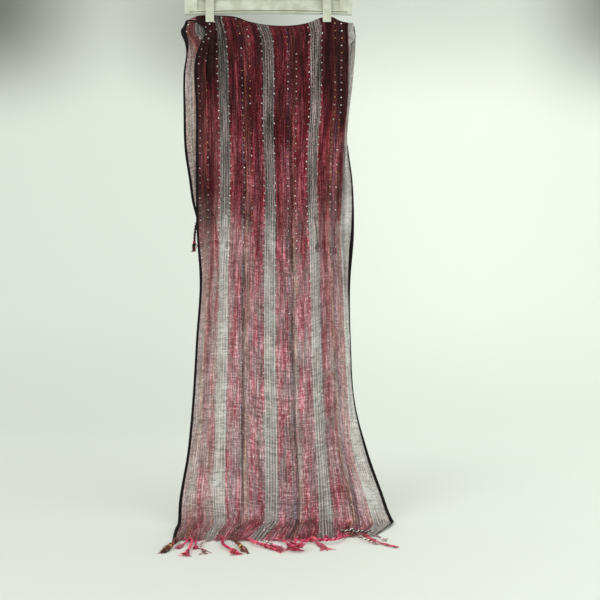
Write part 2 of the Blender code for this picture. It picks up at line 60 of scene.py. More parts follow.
# %% Camera
CAMERA_PLACE = (0.0693, -2.0, -0.7492)
CAMERA_LENS = 54.545
SENSOR_WIDTH = 36.0


def add_object(name, data):
    """Makes an object of a mesh, a light, a curve or a camera, and links it to the scene."""
    made = bpy.data.objects.new(name, data)
    bpy.context.scene.collection.objects.link(made)
    return made


def add_camera(place, lens):
    """Adds a level camera that looks along +Y, and makes it the scene's camera."""
    data = bpy.data.cameras.new("camera")
    data.sensor_width = SENSOR_WIDTH
    data.lens = lens
    camera = add_object("camera", data)
    camera.location = place
    camera.rotation_euler = (math.radians(90.0), 0.0, 0.0)
    bpy.context.scene.camera = camera
    print("camera at", place, "with a lens of", lens, "mm")


add_camera(CAMERA_PLACE, CAMERA_LENS)

# %% [markdown]
# ## Sums in a shader
#
# Every finish below is a small net of shader nodes. Wired by hand, a sum of three terms already
# takes two nodes and four lines. Here a Value stands for what a node works out at each place, and
# adding to it or multiplying it adds a Math node, so that a finish reads like plain arithmetic.

# %% Values
class Value:
    """What a node works out at each place; sums with it add Math nodes."""

    def __init__(self, socket):
        self.socket = socket

    def __add__(self, other):
        return maths("ADD", self, other)

    def __sub__(self, other):
        return maths("SUBTRACT", self, other)

    def __rsub__(self, other):
        return maths("SUBTRACT", other, self)

    def __mul__(self, other):
        return maths("MULTIPLY", self, other)

    def __truediv__(self, other):
        return maths("DIVIDE", self, other)

    def __rpow__(self, base):
        return maths("POWER", base, self)

    def __abs__(self):
        return maths("ABSOLUTE", self)

    __radd__ = __add__
    __rmul__ = __mul__

# %% Nodes
def feed(socket, value):
    """Gives an input its plain value, or links a Value to it."""
    if isinstance(value, Value):
        socket.id_data.links.new(value.socket, socket)
    else:
        socket.default_value = value


def add_node(tree, kind, inputs=None, **settings):
    """Adds a shader node; inputs maps an input's name or number to what it is fed."""
    node = tree.nodes.new(kind)
    for name, value in settings.items():
        setattr(node, name, value)
    for key, value in (inputs or {}).items():
        feed(node.inputs[key], value)
    return node


def tree_of(*terms):
    """The node tree that the first Value among some terms belongs to."""
    return next(term.socket.id_data for term in terms if isinstance(term, Value))


def maths(operation, *terms):
    """Adds a Math node for Values and plain numbers."""
    node = add_node(tree_of(*terms), "ShaderNodeMath", dict(enumerate(terms)), operation=operation)
    return Value(node.outputs[0])


def stretch(value, low, high, to_low=0.0, to_high=1.0):
    """Maps a range smoothly onto another, and holds both ends past it."""
    inputs = {0: value, 1: low, 2: high, 3: to_low, 4: to_high}
    node = add_node(tree_of(value), "ShaderNodeMapRange", inputs, interpolation_type="SMOOTHSTEP")
    return Value(node.outputs[0])


def contrast(noise, strength, share=1.0):
    """Turns noise round one half into a factor round 1; a lower share calms it."""
    return strength ** ((noise - 0.5) * share)

# %% Colours
def linear(red, green, blue):
    """A colour from display values of 0 to 255, as the linear values that shaders use."""
    shares = np.array([red, green, blue]) / 255.0
    values = np.where(shares <= 0.04045, shares / 12.92, ((shares + 0.055) / 1.055) ** 2.4)
    return (*(float(value) for value in values), 1.0)


def blend(share, first, second, kind="MIX"):
    """Mixes two colours by a share; 6 and 7 are a Mix node's colour inputs."""
    node = add_node(tree_of(share, first, second), "ShaderNodeMix", {0: share, 6: first, 7: second},
                    data_type="RGBA", blend_type=kind)
    return Value(node.outputs[2])


def scaled(colour, factor):
    """A colour times a factor."""
    tree = tree_of(colour, factor)
    grey = add_node(tree, "ShaderNodeCombineColor", dict.fromkeys(range(3), factor))
    return blend(1.0, colour, Value(grey.outputs[0]), "MULTIPLY")

# %% Materials
def new_material(name, settings):
    """A material whose Principled shader has these settings, with its tree and that shader."""
    material = bpy.data.materials.new(name)
    material.use_nodes = True
    shader = material.node_tree.nodes["Principled BSDF"]
    for key, value in settings.items():
        shader.inputs[key].default_value = value
    return material, material.node_tree, shader


def object_place(tree):
    """The place on the object, in metres."""
    return Value(add_node(tree, "ShaderNodeTexCoord").outputs["Object"])


def split(vector):
    """The three numbers of a vector."""
    node = add_node(tree_of(vector), "ShaderNodeSeparateXYZ", {0: vector})
    return [Value(output) for output in node.outputs]


def noise_at(place, scale, detail):
    """Noise round one half, with its number of changes per metre."""
    node = add_node(tree_of(place), "ShaderNodeTexNoise",
                    {"Vector": place, "Scale": scale, "Detail": detail})
    return Value(node.outputs["Fac"])


def attribute_of(tree, name, output):
    """What an attribute of the mesh says at each place."""
    return Value(add_node(tree, "ShaderNodeAttribute", attribute_name=name).outputs[output])


def add_bump(shader, height, strength, distance):
    """Fine relief on a shader."""
    node = add_node(shader.id_data, "ShaderNodeBump",
                    {"Height": height, "Strength": strength, "Distance": distance})
    feed(shader.inputs["Normal"], Value(node.outputs["Normal"]))

# %% [markdown]
# ## Floor, backdrop and light
#
# A studio sweep is one sheet: a floor that curves up into a wall, so no horizon line shows behind
# the gauze. Its wall stands three metres back, so that a camera behind the scarf sees it too. The
# paper's colour has painted shade: darker at the left, towards the top and in both top corners,
# with a soft painted shadow near the top left. A faint glow stands for light thrown back by a
# nearer wall.

# %% Paper of the sweep
FLOOR_Z = -1.2225
CORNER_SHADE_MIDDLE = 0.134
PAPER_TONES = (linear(226, 231, 222), linear(234, 238, 230))
PAPER_SHADER = {"Roughness": 0.9, "Emission Strength": 1.0}


def paper_finish():
    """Pale paper drifting in tone, with painted shade and a painted shadow at the left and top."""
    material, tree, shader = new_material("sweep_paper", PAPER_SHADER)
    place = object_place(tree)
    aside, away, height = split(place)
    # Painted shade: darker at the left, towards the top, a little at the floor and in the top
    # corners.
    side = stretch(aside, -0.70, 1.10, 0.90, 1.08)
    rise = stretch(height, 0.25, 0.92, 1.06, 0.80) - stretch(height, -0.75, -1.19, 0.0, 0.05)
    off_middle = abs(aside - CORNER_SHADE_MIDDLE)
    painted_corner_shade = stretch(off_middle, 1.05, 1.82, 0.0, 0.72) * stretch(height, 0.12, 0.88)
    # A soft painted shadow near the top left.
    shadow_aside, shadow_up = aside * 1.909 + 0.658, height * 2.25 - 1.600
    off_shadow = maths("SQRT", shadow_aside * shadow_aside + shadow_up * shadow_up)
    shadow = stretch(off_shadow, 0.2, 1.35, 0.30, 0.0)
    shaded_paper = scaled(blend(noise_at(place, 0.45, 2.0), *PAPER_TONES),
                   side * rise * (1.0 - painted_corner_shade) * (1.0 - shadow))
    # Painted light: the glow stands for light thrown back by a nearer wall.
    glow = stretch(away, -0.2, 1.2, 0.045, 0.155)
    feed(shader.inputs["Base Color"], shaded_paper)
    feed(shader.inputs["Emission Color"], scaled(shaded_paper, glow))
    return material

# %% Sweep
SWEEP_FRONT, SWEEP_WALL = -3.6, 3.0
SWEEP_RADIUS = 1.6
SWEEP_HALF_WIDTH = 3.8
SWEEP_TOP = 3.2


def add_sweep():
    """The floor and the wall behind it, as one strip swept round a wide curve."""
    bend = SWEEP_WALL - SWEEP_RADIUS
    profile = [(SWEEP_FRONT, FLOOR_Z), (bend, FLOOR_Z)]
    for angle in np.linspace(0.0, math.pi / 2.0, 15)[1:]:
        profile.append((bend + SWEEP_RADIUS * math.sin(angle),
                        FLOOR_Z + SWEEP_RADIUS * (1.0 - math.cos(angle))))
    profile.append((SWEEP_WALL, SWEEP_TOP))
    points = [(x, y, z) for y, z in profile for x in (-SWEEP_HALF_WIDTH, SWEEP_HALF_WIDTH)]
    faces = [(2 * i, 2 * i + 1, 2 * i + 3, 2 * i + 2) for i in range(len(profile) - 1)]
    mesh = bpy.data.meshes.new("sweep")
    mesh.from_pydata(points, [], faces)
    mesh.shade_smooth()
    mesh.materials.append(paper_finish())
    add_object("sweep", mesh)
    print("sweep", len(faces), "faces")


add_sweep()

# %% Lights
LIGHT_COLUMNS = ("name", "place", "size", "watts")
LIGHTS = (
    ("key", (-1.7, -2.3, 0.7), 1.8, 34.0),
    ("fill", (2.3, -2.0, -0.2), 2.2, 26.0),
    ("top", (0.2, -0.2, 1.9), 2.2, 16.0),
)
LIT_PLACE = (0.0, 0.0, -0.65)
WORLD_TONE = (0.97, 1.0, 0.97, 1.0)
WORLD_STRENGTH = 0.62


def add_light(name, place, size, watts):
    """A soft box that faces the middle of the scarf."""
    data = bpy.data.lights.new(name, "AREA")
    data.size = size
    data.energy = watts
    light = add_object(name, data)
    light.location = place
    away = np.array(place) - LIT_PLACE
    turn_z = math.atan2(away[1], away[0]) + math.pi / 2.0
    light.rotation_euler = (math.acos(away[2] / np.linalg.norm(away)), 0.0, turn_z)


def add_world():
    """A bright even world, which fills the shadows."""
    world = bpy.data.worlds.new("studio")
    world.use_nodes = True
    background = world.node_tree.nodes["Background"]
    background.inputs["Color"].default_value = WORLD_TONE
    background.inputs["Strength"].default_value = WORLD_STRENGTH
    bpy.context.scene.world = world


for row in LIGHTS:
    add_light(*row)
add_world()
bpy.context.scene.view_settings.view_transform = "Standard"
print("lights", [dict(zip(LIGHT_COLUMNS, row)) for row in LIGHTS])

# %% [markdown]
# ## How the cloth hangs
#
# A thin shell follows the same form as its CAD wall, so it is worked out from the same measures.
# A place on the cloth is named as it was cut: "cut" runs across from the left edge, and "drop"
# runs down from the line where the scarf is doubled over. Tables say where six guide warps run at
# some drops, and the rest is read between them. Where they come closer, the cloth has to be
# gathered.

# %% Measures of the cloth
CUT_WIDTH = 0.500
FRONT_LENGTH = 1.247
BACK_LENGTH = 0.435
EDGE_BAND = 0.0070
MARGIN_FOLD = 0.446

# %% Where the warp runs
WARP_CUTS = (0.000, 0.090, 0.214, 0.338, 0.446, 0.500)
SECTION_COLUMNS = ("drop", "left", "grey_1", "grey_2", "grey_3", "white", "right")
FRONT_SECTIONS = (
    (0.000, -0.182, -0.1145, -0.019, 0.099, 0.175, 0.188),
    (0.010, -0.152, -0.1140, -0.013, 0.102, 0.175, 0.180),
    (0.024, -0.140, -0.1110, -0.007, 0.105, 0.175, 0.176),
    (0.050, -0.149, -0.1060, -0.002, 0.104, 0.175, 0.175),
    (0.084, -0.159, -0.1030, -0.001, 0.104, 0.175, 0.175),
    (0.200, -0.158, -0.0980, -0.001, 0.103, 0.172, 0.173),
    (0.270, -0.158, -0.0960, 0.001, 0.098, 0.165, 0.174),
    (0.350, -0.158, -0.0950, 0.004, 0.096, 0.162, 0.184),
    (0.466, -0.156, -0.0970, 0.004, 0.100, 0.157, 0.187),
    (0.576, -0.149, -0.1000, 0.003, 0.104, 0.162, 0.179),
    (0.700, -0.156, -0.1010, 0.003, 0.106, 0.167, 0.180),
    (0.847, -0.164, -0.1040, 0.005, 0.111, 0.174, 0.191),
    (0.943, -0.172, -0.1050, 0.006, 0.117, 0.182, 0.217),
    (1.062, -0.188, -0.1040, 0.008, 0.123, 0.215, 0.257),
    (1.105, -0.187, -0.1000, 0.007, 0.123, 0.222, 0.268),
    (1.165, -0.186, -0.1050, -0.006, 0.123, 0.214, 0.255),
    (1.247, -0.181, -0.1110, -0.025, 0.123, 0.201, 0.224),
)
BACK_SECTIONS = (
    (0.000, -0.182, -0.1145, -0.019, 0.099, 0.175, 0.188),
    (0.028, -0.192, -0.1080, -0.010, 0.102, 0.176, 0.192),
    (0.055, -0.183, -0.1050, -0.004, 0.103, 0.176, 0.192),
    (0.120, -0.188, -0.1000, -0.002, 0.103, 0.174, 0.187),
    (0.200, -0.188, -0.0980, -0.001, 0.102, 0.168, 0.178),
    (0.290, -0.185, -0.0970, 0.000, 0.098, 0.160, 0.170),
    (0.350, -0.176, -0.0970, 0.002, 0.096, 0.155, 0.166),
    (0.400, -0.169, -0.0980, 0.002, 0.096, 0.153, 0.164),
    (0.435, -0.160, -0.0990, 0.002, 0.096, 0.152, 0.163),
)

# %% Reading between the guides
def ease(value, start, end):
    """A smooth step from 0 at start to 1 at end."""
    share = np.clip((value - start) / (end - start), 0.0, 1.0)
    return share * share * (3.0 - 2.0 * share)


def curve_through(at, places, values):
    """A smooth curve through values at rising places, read anywhere and held past both ends."""
    places = np.asarray(places, float)
    values = np.asarray(values, float)
    slopes = np.gradient(values, places)
    at = np.clip(at, places[0], places[-1])
    left = np.clip(np.searchsorted(places, at, side="right") - 1, 0, len(places) - 2)
    span = places[left + 1] - places[left]
    share = (at - places[left]) / span
    rest = 1.0 - share
    near = rest * rest * ((1.0 + 2.0 * share) * values[left] + share * span * slopes[left])
    far = share * share * ((3.0 - 2.0 * share) * values[left + 1] - rest * span * slopes[left + 1])
    return near + far


def across(sections, cut, drop):
    """The place across the picture of a point on the cloth, read between the guide warps."""
    table = np.array(sections)
    drops = table[:, SECTION_COLUMNS.index("drop")]
    columns = range(1, len(SECTION_COLUMNS))
    guides = [curve_through(drop, drops, table[:, column]) for column in columns]
    place = guides[0]
    for first, start, end in zip(range(len(WARP_CUTS) - 1), WARP_CUTS, WARP_CUTS[1:]):
        share = np.clip((cut - start) / (end - start), 0.0, 1.0)
        place = place + (guides[first + 1] - guides[first]) * share
    return place


def gather(sections, crests, deepest, cut, drop):
    """Depth of the gathers: the narrower the cloth is held, the deeper they are."""
    crests = np.array(crests)
    step = 0.002
    before = across(sections, np.clip(cut - step, 0.0, CUT_WIDTH), drop)
    after = across(sections, np.clip(cut + step, 0.0, CUT_WIDTH), drop)
    width = np.clip(cut + step, 0.0, CUT_WIDTH) - np.clip(cut - step, 0.0, CUT_WIDTH)
    held = np.clip(np.abs(after - before) / width, 0.0, 0.98)
    phase = np.interp(cut, crests, np.arange(len(crests)))
    pitch = np.interp(cut, (crests[:-1] + crests[1:]) / 2.0, np.diff(crests))
    uneven = 0.62 + 0.38 * np.sin(41.0 * cut + 3.1 * drop) * np.cos(17.0 * cut - 4.3 * drop)
    depth = np.minimum(pitch * np.sqrt(1.0 - held) / math.pi, deepest) * uneven
    return depth, np.cos(2.0 * math.pi * phase)

# %% [markdown]
# ## Creases
#
# Gathers alone look like a curtain. Real gauze keeps creases from the way it was folded and held:
# some fan out from the clips, some run down beside the warp, a few cross the long fall, and some
# buckle where the cloth meets the floor. Each is listed as a line on the cut cloth, and raises or
# sinks the cloth in a soft bell across that line, fading at both ends. A row is the cut and drop
# that the line starts from, those that it ends at, its width and its height.

# %% Creases in front
FRONT_CREASES = (
    (0.036, 0.020, 0.150, 0.085, 0.0060, 0.0022),
    (0.036, 0.022, 0.112, 0.130, 0.0050, -0.0020),
    (0.034, 0.026, 0.070, 0.190, 0.0060, 0.0024),
    (0.030, 0.028, 0.022, 0.210, 0.0055, -0.0022),
    (0.374, 0.020, 0.255, 0.075, 0.0060, 0.0020),
    (0.372, 0.024, 0.318, 0.120, 0.0050, -0.0020),
    (0.378, 0.026, 0.392, 0.240, 0.0060, 0.0026),
    (0.382, 0.022, 0.430, 0.130, 0.0050, -0.0018),
    (0.168, 0.140, 0.176, 0.420, 0.0070, -0.0020),
    (0.238, 0.090, 0.246, 0.360, 0.0060, 0.0022),
    (0.300, 0.200, 0.288, 0.560, 0.0060, -0.0022),
    (0.052, 0.470, 0.030, 0.800, 0.0080, 0.0030),
    (0.076, 0.520, 0.060, 0.760, 0.0050, -0.0018),
    (0.142, 0.560, 0.148, 1.060, 0.0050, 0.0020),
    (0.270, 0.560, 0.274, 1.120, 0.0045, 0.0026),
    (0.352, 0.600, 0.372, 0.900, 0.0070, -0.0024),
    (0.402, 0.560, 0.418, 0.840, 0.0060, 0.0032),
    (0.388, 0.780, 0.412, 1.190, 0.0050, 0.0036),
    (0.428, 0.900, 0.400, 1.150, 0.0070, -0.0030),
    (0.452, 0.420, 0.470, 0.640, 0.0090, -0.0026),
    (0.210, 0.800, 0.222, 1.080, 0.0080, -0.0022),
    (0.108, 0.860, 0.098, 1.090, 0.0080, -0.0020),
    (0.100, 0.664, 0.270, 0.678, 0.0050, 0.0020),
    (0.040, 0.760, 0.140, 0.776, 0.0060, -0.0020),
    (0.300, 0.800, 0.480, 0.784, 0.0060, -0.0020),
    (0.180, 0.900, 0.460, 0.935, 0.0060, 0.0024),
    (0.020, 0.985, 0.190, 1.004, 0.0060, 0.0020),
    (0.230, 1.045, 0.420, 1.030, 0.0055, 0.0020),
)

# %% Buckles on the floor, and creases behind
FLOOR_BUCKLES = (
    (0.008, 1.118, 0.070, 1.126, 0.0060, 0.0050),
    (0.086, 1.108, 0.150, 1.112, 0.0055, 0.0055),
    (0.150, 1.122, 0.214, 1.106, 0.0050, 0.0040),
    (0.236, 1.106, 0.300, 1.100, 0.0055, 0.0058),
    (0.300, 1.112, 0.352, 1.098, 0.0050, 0.0048),
    (0.366, 1.140, 0.420, 1.148, 0.0060, 0.0070),
    (0.372, 1.186, 0.436, 1.196, 0.0050, 0.0062),
    (0.030, 1.176, 0.110, 1.184, 0.0060, 0.0034),
    (0.190, 1.170, 0.280, 1.178, 0.0060, 0.0030),
)
BACK_CREASES = (
    (0.036, 0.020, 0.130, 0.110, 0.0060, 0.0018),
    (0.034, 0.024, 0.052, 0.220, 0.0060, -0.0020),
    (0.374, 0.020, 0.280, 0.110, 0.0060, 0.0018),
    (0.376, 0.024, 0.366, 0.230, 0.0060, -0.0020),
    (0.120, 0.110, 0.128, 0.360, 0.0060, 0.0022),
    (0.196, 0.160, 0.190, 0.400, 0.0070, -0.0020),
    (0.268, 0.120, 0.276, 0.330, 0.0060, 0.0020),
    (0.320, 0.200, 0.314, 0.420, 0.0060, -0.0018),
)

# %% Height of the creases
def crease_height(creases, cut, drop):
    """How far the creases raise the cloth at a place."""
    total = 0.0 * (cut + drop)
    for from_cut, from_drop, to_cut, to_drop, width, height in creases:
        run = np.array([to_cut - from_cut, to_drop - from_drop])
        length = np.hypot(*run)
        along = ((cut - from_cut) * run[0] + (drop - from_drop) * run[1]) / length
        aside = ((drop - from_drop) * run[0] - (cut - from_cut) * run[1]) / length
        share = along / length
        wander = 0.25 * width * np.sin(9.0 * share + 40.0 * from_cut)
        fade = ease(share, -0.02, 0.22) * ease(share, 1.02, 0.70)
        total = total + height * fade * np.exp(-(((aside - wander) / width) ** 2))
    return total

# %% Crinkle
CRINKLES = (
    (0.00055, 61.0, 9.0, 23.0, 87.0, 5.0, 11.0),
    (0.00030, 173.0, 7.0, 71.0, 211.0, 6.0, 37.0),
)


def crinkle(cut, drop):
    """The fine restlessness of loose gauze: a few crossing waves of uneven length."""
    total = 0.0
    for height, down, down_sway, down_bend, over, over_sway, over_bend in CRINKLES:
        rows = np.sin(down * drop + down_sway * np.sin(down_bend * cut))
        total = total + height * rows * np.sin(over * cut + over_sway * np.sin(over_bend * drop))
    return total


print(len(FRONT_CREASES) + len(FLOOR_BUCKLES), "creases in front,", len(BACK_CREASES), "behind")

# %% [markdown]
# ## The doubled edge, the front and the back as surfaces
#
# Three functions give the middle surface of the cloth at any place on it. At the doubled edge it
# is pressed flat in the clips, sags between them and bulges to a loose hood at the left end.
# Below the clips the front is a catenary, the curve of a hanging chain, that ends level with the
# floor; the rest lies flat. Both falls have gathers, whose crests are listed across the cut.

# %% The doubled edge
QUARTER_TURN = math.pi / 2.0
CLIP_X = 0.1285
GRIP_RADIUS = 0.0013
GRIP_REACH = 0.019
GRIP_EASE = 0.017
GRIP_DROP = 0.021
PINCH_DROP = 0.005
FULL_DEPTH_DROP = 0.070
FOLD_RADIUS = 0.0030
HOOD_RADIUS = 0.0060
HOOD_REACH = (0.010, 0.040)
DOUBLED_EDGE = {
    "cut": (0.000, 0.027, 0.059, 0.084, 0.156, 0.174, 0.202, 0.245, 0.281,
            0.321, 0.355, 0.396, 0.418, 0.500),
    "height": (-0.1354, -0.1257, -0.1225, -0.1229, -0.1288, -0.1345, -0.1398, -0.1452, -0.1455,
               -0.1402, -0.1295, -0.1262, -0.1340, -0.1402),
}


def grip(place):
    """1 where a clip holds the cloth flat, 0 well away from both clips."""
    reach = np.minimum(np.abs(place - CLIP_X), np.abs(place + CLIP_X))
    return 1.0 - ease(reach, GRIP_REACH, GRIP_REACH + GRIP_EASE)


def fold_radius(cut, place):
    """Radius of the doubled edge: flat in the clips, and a loose hood at the left end."""
    loose = FOLD_RADIUS + (HOOD_RADIUS - FOLD_RADIUS) * (1.0 - ease(cut, *HOOD_REACH))
    return GRIP_RADIUS + (loose - GRIP_RADIUS) * (1.0 - grip(place))


def opening(held, drop):
    """How far the cloth has opened below the doubled edge; it stays pressed flat in a clip."""
    start = PINCH_DROP + (GRIP_DROP - PINCH_DROP) * held
    return ease(drop, start, start + FULL_DEPTH_DROP)


def edge_height(cut):
    """Height of the doubled edge."""
    return curve_through(cut, DOUBLED_EDGE["cut"], DOUBLED_EDGE["height"])


def over_the_fold(cut, share):
    """A point on the doubled edge, from share -1 at the back to 1 at the front."""
    sections = BACK_SECTIONS if share < 0.0 else FRONT_SECTIONS
    radius = fold_radius(cut, across(sections, cut, 0.0 * cut))
    turn = share * QUARTER_TURN
    place = across(sections, cut, np.abs(turn) * radius)
    height = edge_height(cut) - radius * (1.0 - math.cos(turn))
    return np.stack([place, -radius * math.sin(turn), height], axis=-1)


def below_fold(cut, drop, sections):
    """Moves rows down by the quarter turn of the doubled edge, which is wider at the hood."""
    radius = fold_radius(cut, across(sections, cut, 0.0 * cut))
    return drop + QUARTER_TURN * radius * ease(drop, 0.100, 0.0)

# %% The long end in front
HALF_WALL = 0.0005
FRONT_STANDOFF = 0.0060
FRONT_GATHER = 0.0052
FRONT_CRESTS = (0.000, 0.030, 0.058, 0.090, 0.130, 0.174, 0.214, 0.254, 0.298, 0.338, 0.368, 0.394,
                0.420, 0.446, 0.474, 0.500)
FLOOR_RIPPLE = 0.0022
HEM_CALM = 0.060
FLOOR_TURN = {
    "cut": (0.000, 0.090, 0.214, 0.338, 0.420, 0.500),
    "radius": (0.0210, 0.0170, 0.0105, 0.0090, 0.0220, 0.0120),
    "run": (0.90, 1.00, 1.00, 0.96, 0.60, 0.72),
}


def front_relief(cut, drop, opened):
    """Gathers and creases of the hanging front, and its ripples and buckles on the floor."""
    depth, wave = gather(FRONT_SECTIONS, FRONT_CRESTS, FRONT_GATHER, cut, drop)
    free = opened * (1.0 - ease(cut, 0.370, 0.400) * ease(drop, 0.310, 0.260))
    creases = free * (crease_height(FRONT_CREASES, cut, drop) + crinkle(cut, drop))
    ripple = FLOOR_RIPPLE * (1.0 - 0.8 * ease(drop, FRONT_LENGTH - HEM_CALM, FRONT_LENGTH))
    buckles = np.maximum(crease_height(FLOOR_BUCKLES, cut, drop), 0.0)
    return free * depth * wave, creases, HALF_WALL + ripple * (1.0 + wave) + buckles


def front_point(cut, drop):
    """A point on the front fall, from below the doubled edge to the hem on the floor."""
    place = across(FRONT_SECTIONS, cut, drop)
    radius = fold_radius(cut, place)
    bend = curve_through(cut, FLOOR_TURN["cut"], FLOOR_TURN["radius"])
    share = curve_through(cut, FLOOR_TURN["cut"], FLOOR_TURN["run"])
    below_edge = drop - (QUARTER_TURN - 1.0) * radius
    whole = np.sqrt((edge_height(cut) - FLOOR_Z + bend) ** 2 - bend**2)
    rise = np.maximum(whole - below_edge, 0.0)
    run = np.maximum(below_edge - whole, 0.0) * share
    slant = np.sqrt(bend**2 + rise**2)
    upright, level = rise / slant, bend / slant
    lean = bend * (np.arcsinh(whole / bend) - np.arcsinh(rise / bend)) * ease(drop, 0.030, 0.200)
    opened = opening(grip(place), drop)
    stand = radius + (FRONT_STANDOFF - radius) * opened
    gathers, creases, lying = front_relief(cut, drop, opened)
    out = upright * (stand + creases) + upright**3 * gathers + level * lying
    height = FLOOR_Z + slant - bend + level * out
    return np.stack([place, -lean - run - upright * out, height], axis=-1)


def margin_edge(drop):
    """The cut place where the front's right margin is turned under: it opens out lower down."""
    shown = np.maximum(ease(drop, 0.030, 0.0), ease(drop, 0.200, 0.270))
    return MARGIN_FOLD + (CUT_WIDTH - MARGIN_FOLD) * shown

# %% The short end behind
BACK_STANDOFF = 0.0085
BACK_GATHER = 0.0042
BACK_CRESTS = (0.000, 0.046, 0.090, 0.134, 0.176, 0.214, 0.258, 0.300, 0.338, 0.376, 0.412, 0.446,
               0.500)
BACK_CRINKLE_SHIFT = 0.3
EAR_WIDTH = 0.013
HOOD_CURL = 0.0140
ROLL_START = 0.02
ROLL_DEPTH = 0.45


def back_point(cut, drop):
    """A point on the back fall; its left edge curls forward and its right margin rolls back."""
    place = across(BACK_SECTIONS, cut, drop)
    radius = fold_radius(cut, place)
    opened = opening(grip(place), drop)
    depth, wave = gather(BACK_SECTIONS, BACK_CRESTS, BACK_GATHER, cut, drop)
    calm = 1.0 - ease(cut, MARGIN_FOLD - 0.030, MARGIN_FOLD)
    creases = crease_height(BACK_CREASES, cut, drop) + crinkle(cut + BACK_CRINKLE_SHIFT, drop)
    away = radius + (BACK_STANDOFF - radius) * opened - opened * calm * (depth * wave - creases)
    curl = ease(drop, 0.012, 0.030) * ease(drop, 0.080, 0.040)
    away = away - HOOD_CURL * curl * np.exp(-((cut / EAR_WIDTH) ** 2))
    turned = ROLL_START + (math.pi - ROLL_START) * ease(drop, 0.005, 0.050)
    fold_place = across(BACK_SECTIONS, MARGIN_FOLD + 0.0 * cut, drop)
    roll = across(BACK_SECTIONS, CUT_WIDTH + 0.0 * cut, drop) - fold_place
    roll = roll / np.sin(np.minimum(turned, QUARTER_TURN))
    turn = np.clip((cut - MARGIN_FOLD) / (CUT_WIDTH - MARGIN_FOLD), 0.0, 1.0) * turned
    place = np.where(cut > MARGIN_FOLD, fold_place + roll * np.sin(turn), place)
    away = away + ROLL_DEPTH * roll * (1.0 - np.cos(turn))
    return np.stack([place, away, edge_height(cut) - drop + (QUARTER_TURN - 1.0) * radius], axis=-1)

# %% [markdown]
# ## From a surface to a shell
#
# A grid of points becomes a mesh of quads. Two UV maps go with it. "warp" holds cut and drop in
# metres, so stripes follow the threads however the cloth hangs; "OFBake" holds the same sheet
# laid flat in one square for a baked picture. A float attribute says how dense the gauze looks
# there, where a second layer lies behind it or where it is bunched on the floor, and so how far
# its colour is darkened as painted shade.

# %% Shell maker
BAKE_MARGIN = 0.002


def stand_for(piece, node=None):
    """Lets a piece ride on the part's one body, and hides a CAD node that it replaces."""
    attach(piece, "root")
    if node:
        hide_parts(node)
    print(piece.name, len(piece.data.polygons), "faces, in place of", node or "no solid")


def add_uv(mesh, name, values):
    """Adds a UV map with a value for each corner of each face."""
    layer = mesh.uv_layers.new(name=name)
    layer.data.foreach_set("uv", values.astype(np.float32).reshape(-1))


def add_shell(name, points, cut, drop, packed, material):
    """Makes a smooth sheet from a grid of points, with its UV maps and its density and shade."""
    shape = points.shape[:2]
    index = np.arange(shape[0] * shape[1]).reshape(shape)
    quads = np.stack([index[1:, :-1], index[1:, 1:], index[:-1, 1:], index[:-1, :-1]], axis=-1)
    corners = quads.reshape(-1)
    mesh = bpy.data.meshes.new(name)
    mesh.from_pydata(points.reshape(-1, 3).tolist(), [], quads.reshape(-1, 4).tolist())
    cut = np.broadcast_to(cut, shape).reshape(-1)
    drop = np.broadcast_to(drop, shape).reshape(-1)
    wide, high = (cut - cut.min()) / np.ptp(cut), 1.0 - (drop - drop.min()) / np.ptp(drop)
    flat = BAKE_MARGIN + (1.0 - 2.0 * BAKE_MARGIN) * np.stack([wide, high], axis=-1)
    add_uv(mesh, "OFBake", flat[corners])
    add_uv(mesh, "warp", np.stack([cut, drop], axis=-1)[corners])
    packed = np.broadcast_to(packed, shape).astype(np.float32).reshape(-1)
    mesh.attributes.new("packed", "FLOAT", "POINT").data.foreach_set("value", packed)
    mesh.materials.append(material)
    mesh.shade_smooth()
    mesh.update()
    return add_object(name, mesh)

# %% [markdown]
# ## Yarns and stripes
#
# The scarf is striped along its warp: three grey stripes between crimson, rose, brown and gold
# ones, with a pale border at both sides. The warp yarn is space-dyed, so its colour changes along
# its length in long uneven runs. The stripes are charted: each row ends at a cut place and names
# its ground, the yarn that runs through it, the odd bright thread, how much of the wall it covers,
# how strong its fine light and dark lines are, and how far painted shade darkens it where a second
# layer backs it.

# %% Yarn colours
YARNS = {
    "wine": linear(138, 73, 86),
    "maroon": linear(114, 64, 70),
    "crimson": linear(164, 38, 64),
    "magenta": linear(158, 42, 92),
    "coral": linear(188, 64, 66),
    "rose": linear(150, 104, 108),
    "brown": linear(96, 62, 52),
    "dark_brown": linear(76, 44, 40),
    "gold": linear(192, 142, 84),
    "tan": linear(136, 96, 84),
    "beige": linear(168, 132, 118),
    "slate": linear(70, 76, 128),
    "grey": linear(124, 112, 108),
    "ash": linear(82, 74, 73),
    "silver": linear(162, 152, 144),
    "white": linear(216, 212, 206),
    "black": linear(26, 22, 26),
    "blush": linear(152, 74, 84),
    "fuchsia": linear(196, 58, 98),
    "salmon": linear(210, 92, 100),
    "blossom": linear(206, 92, 124),
    "rust": linear(124, 66, 54),
}
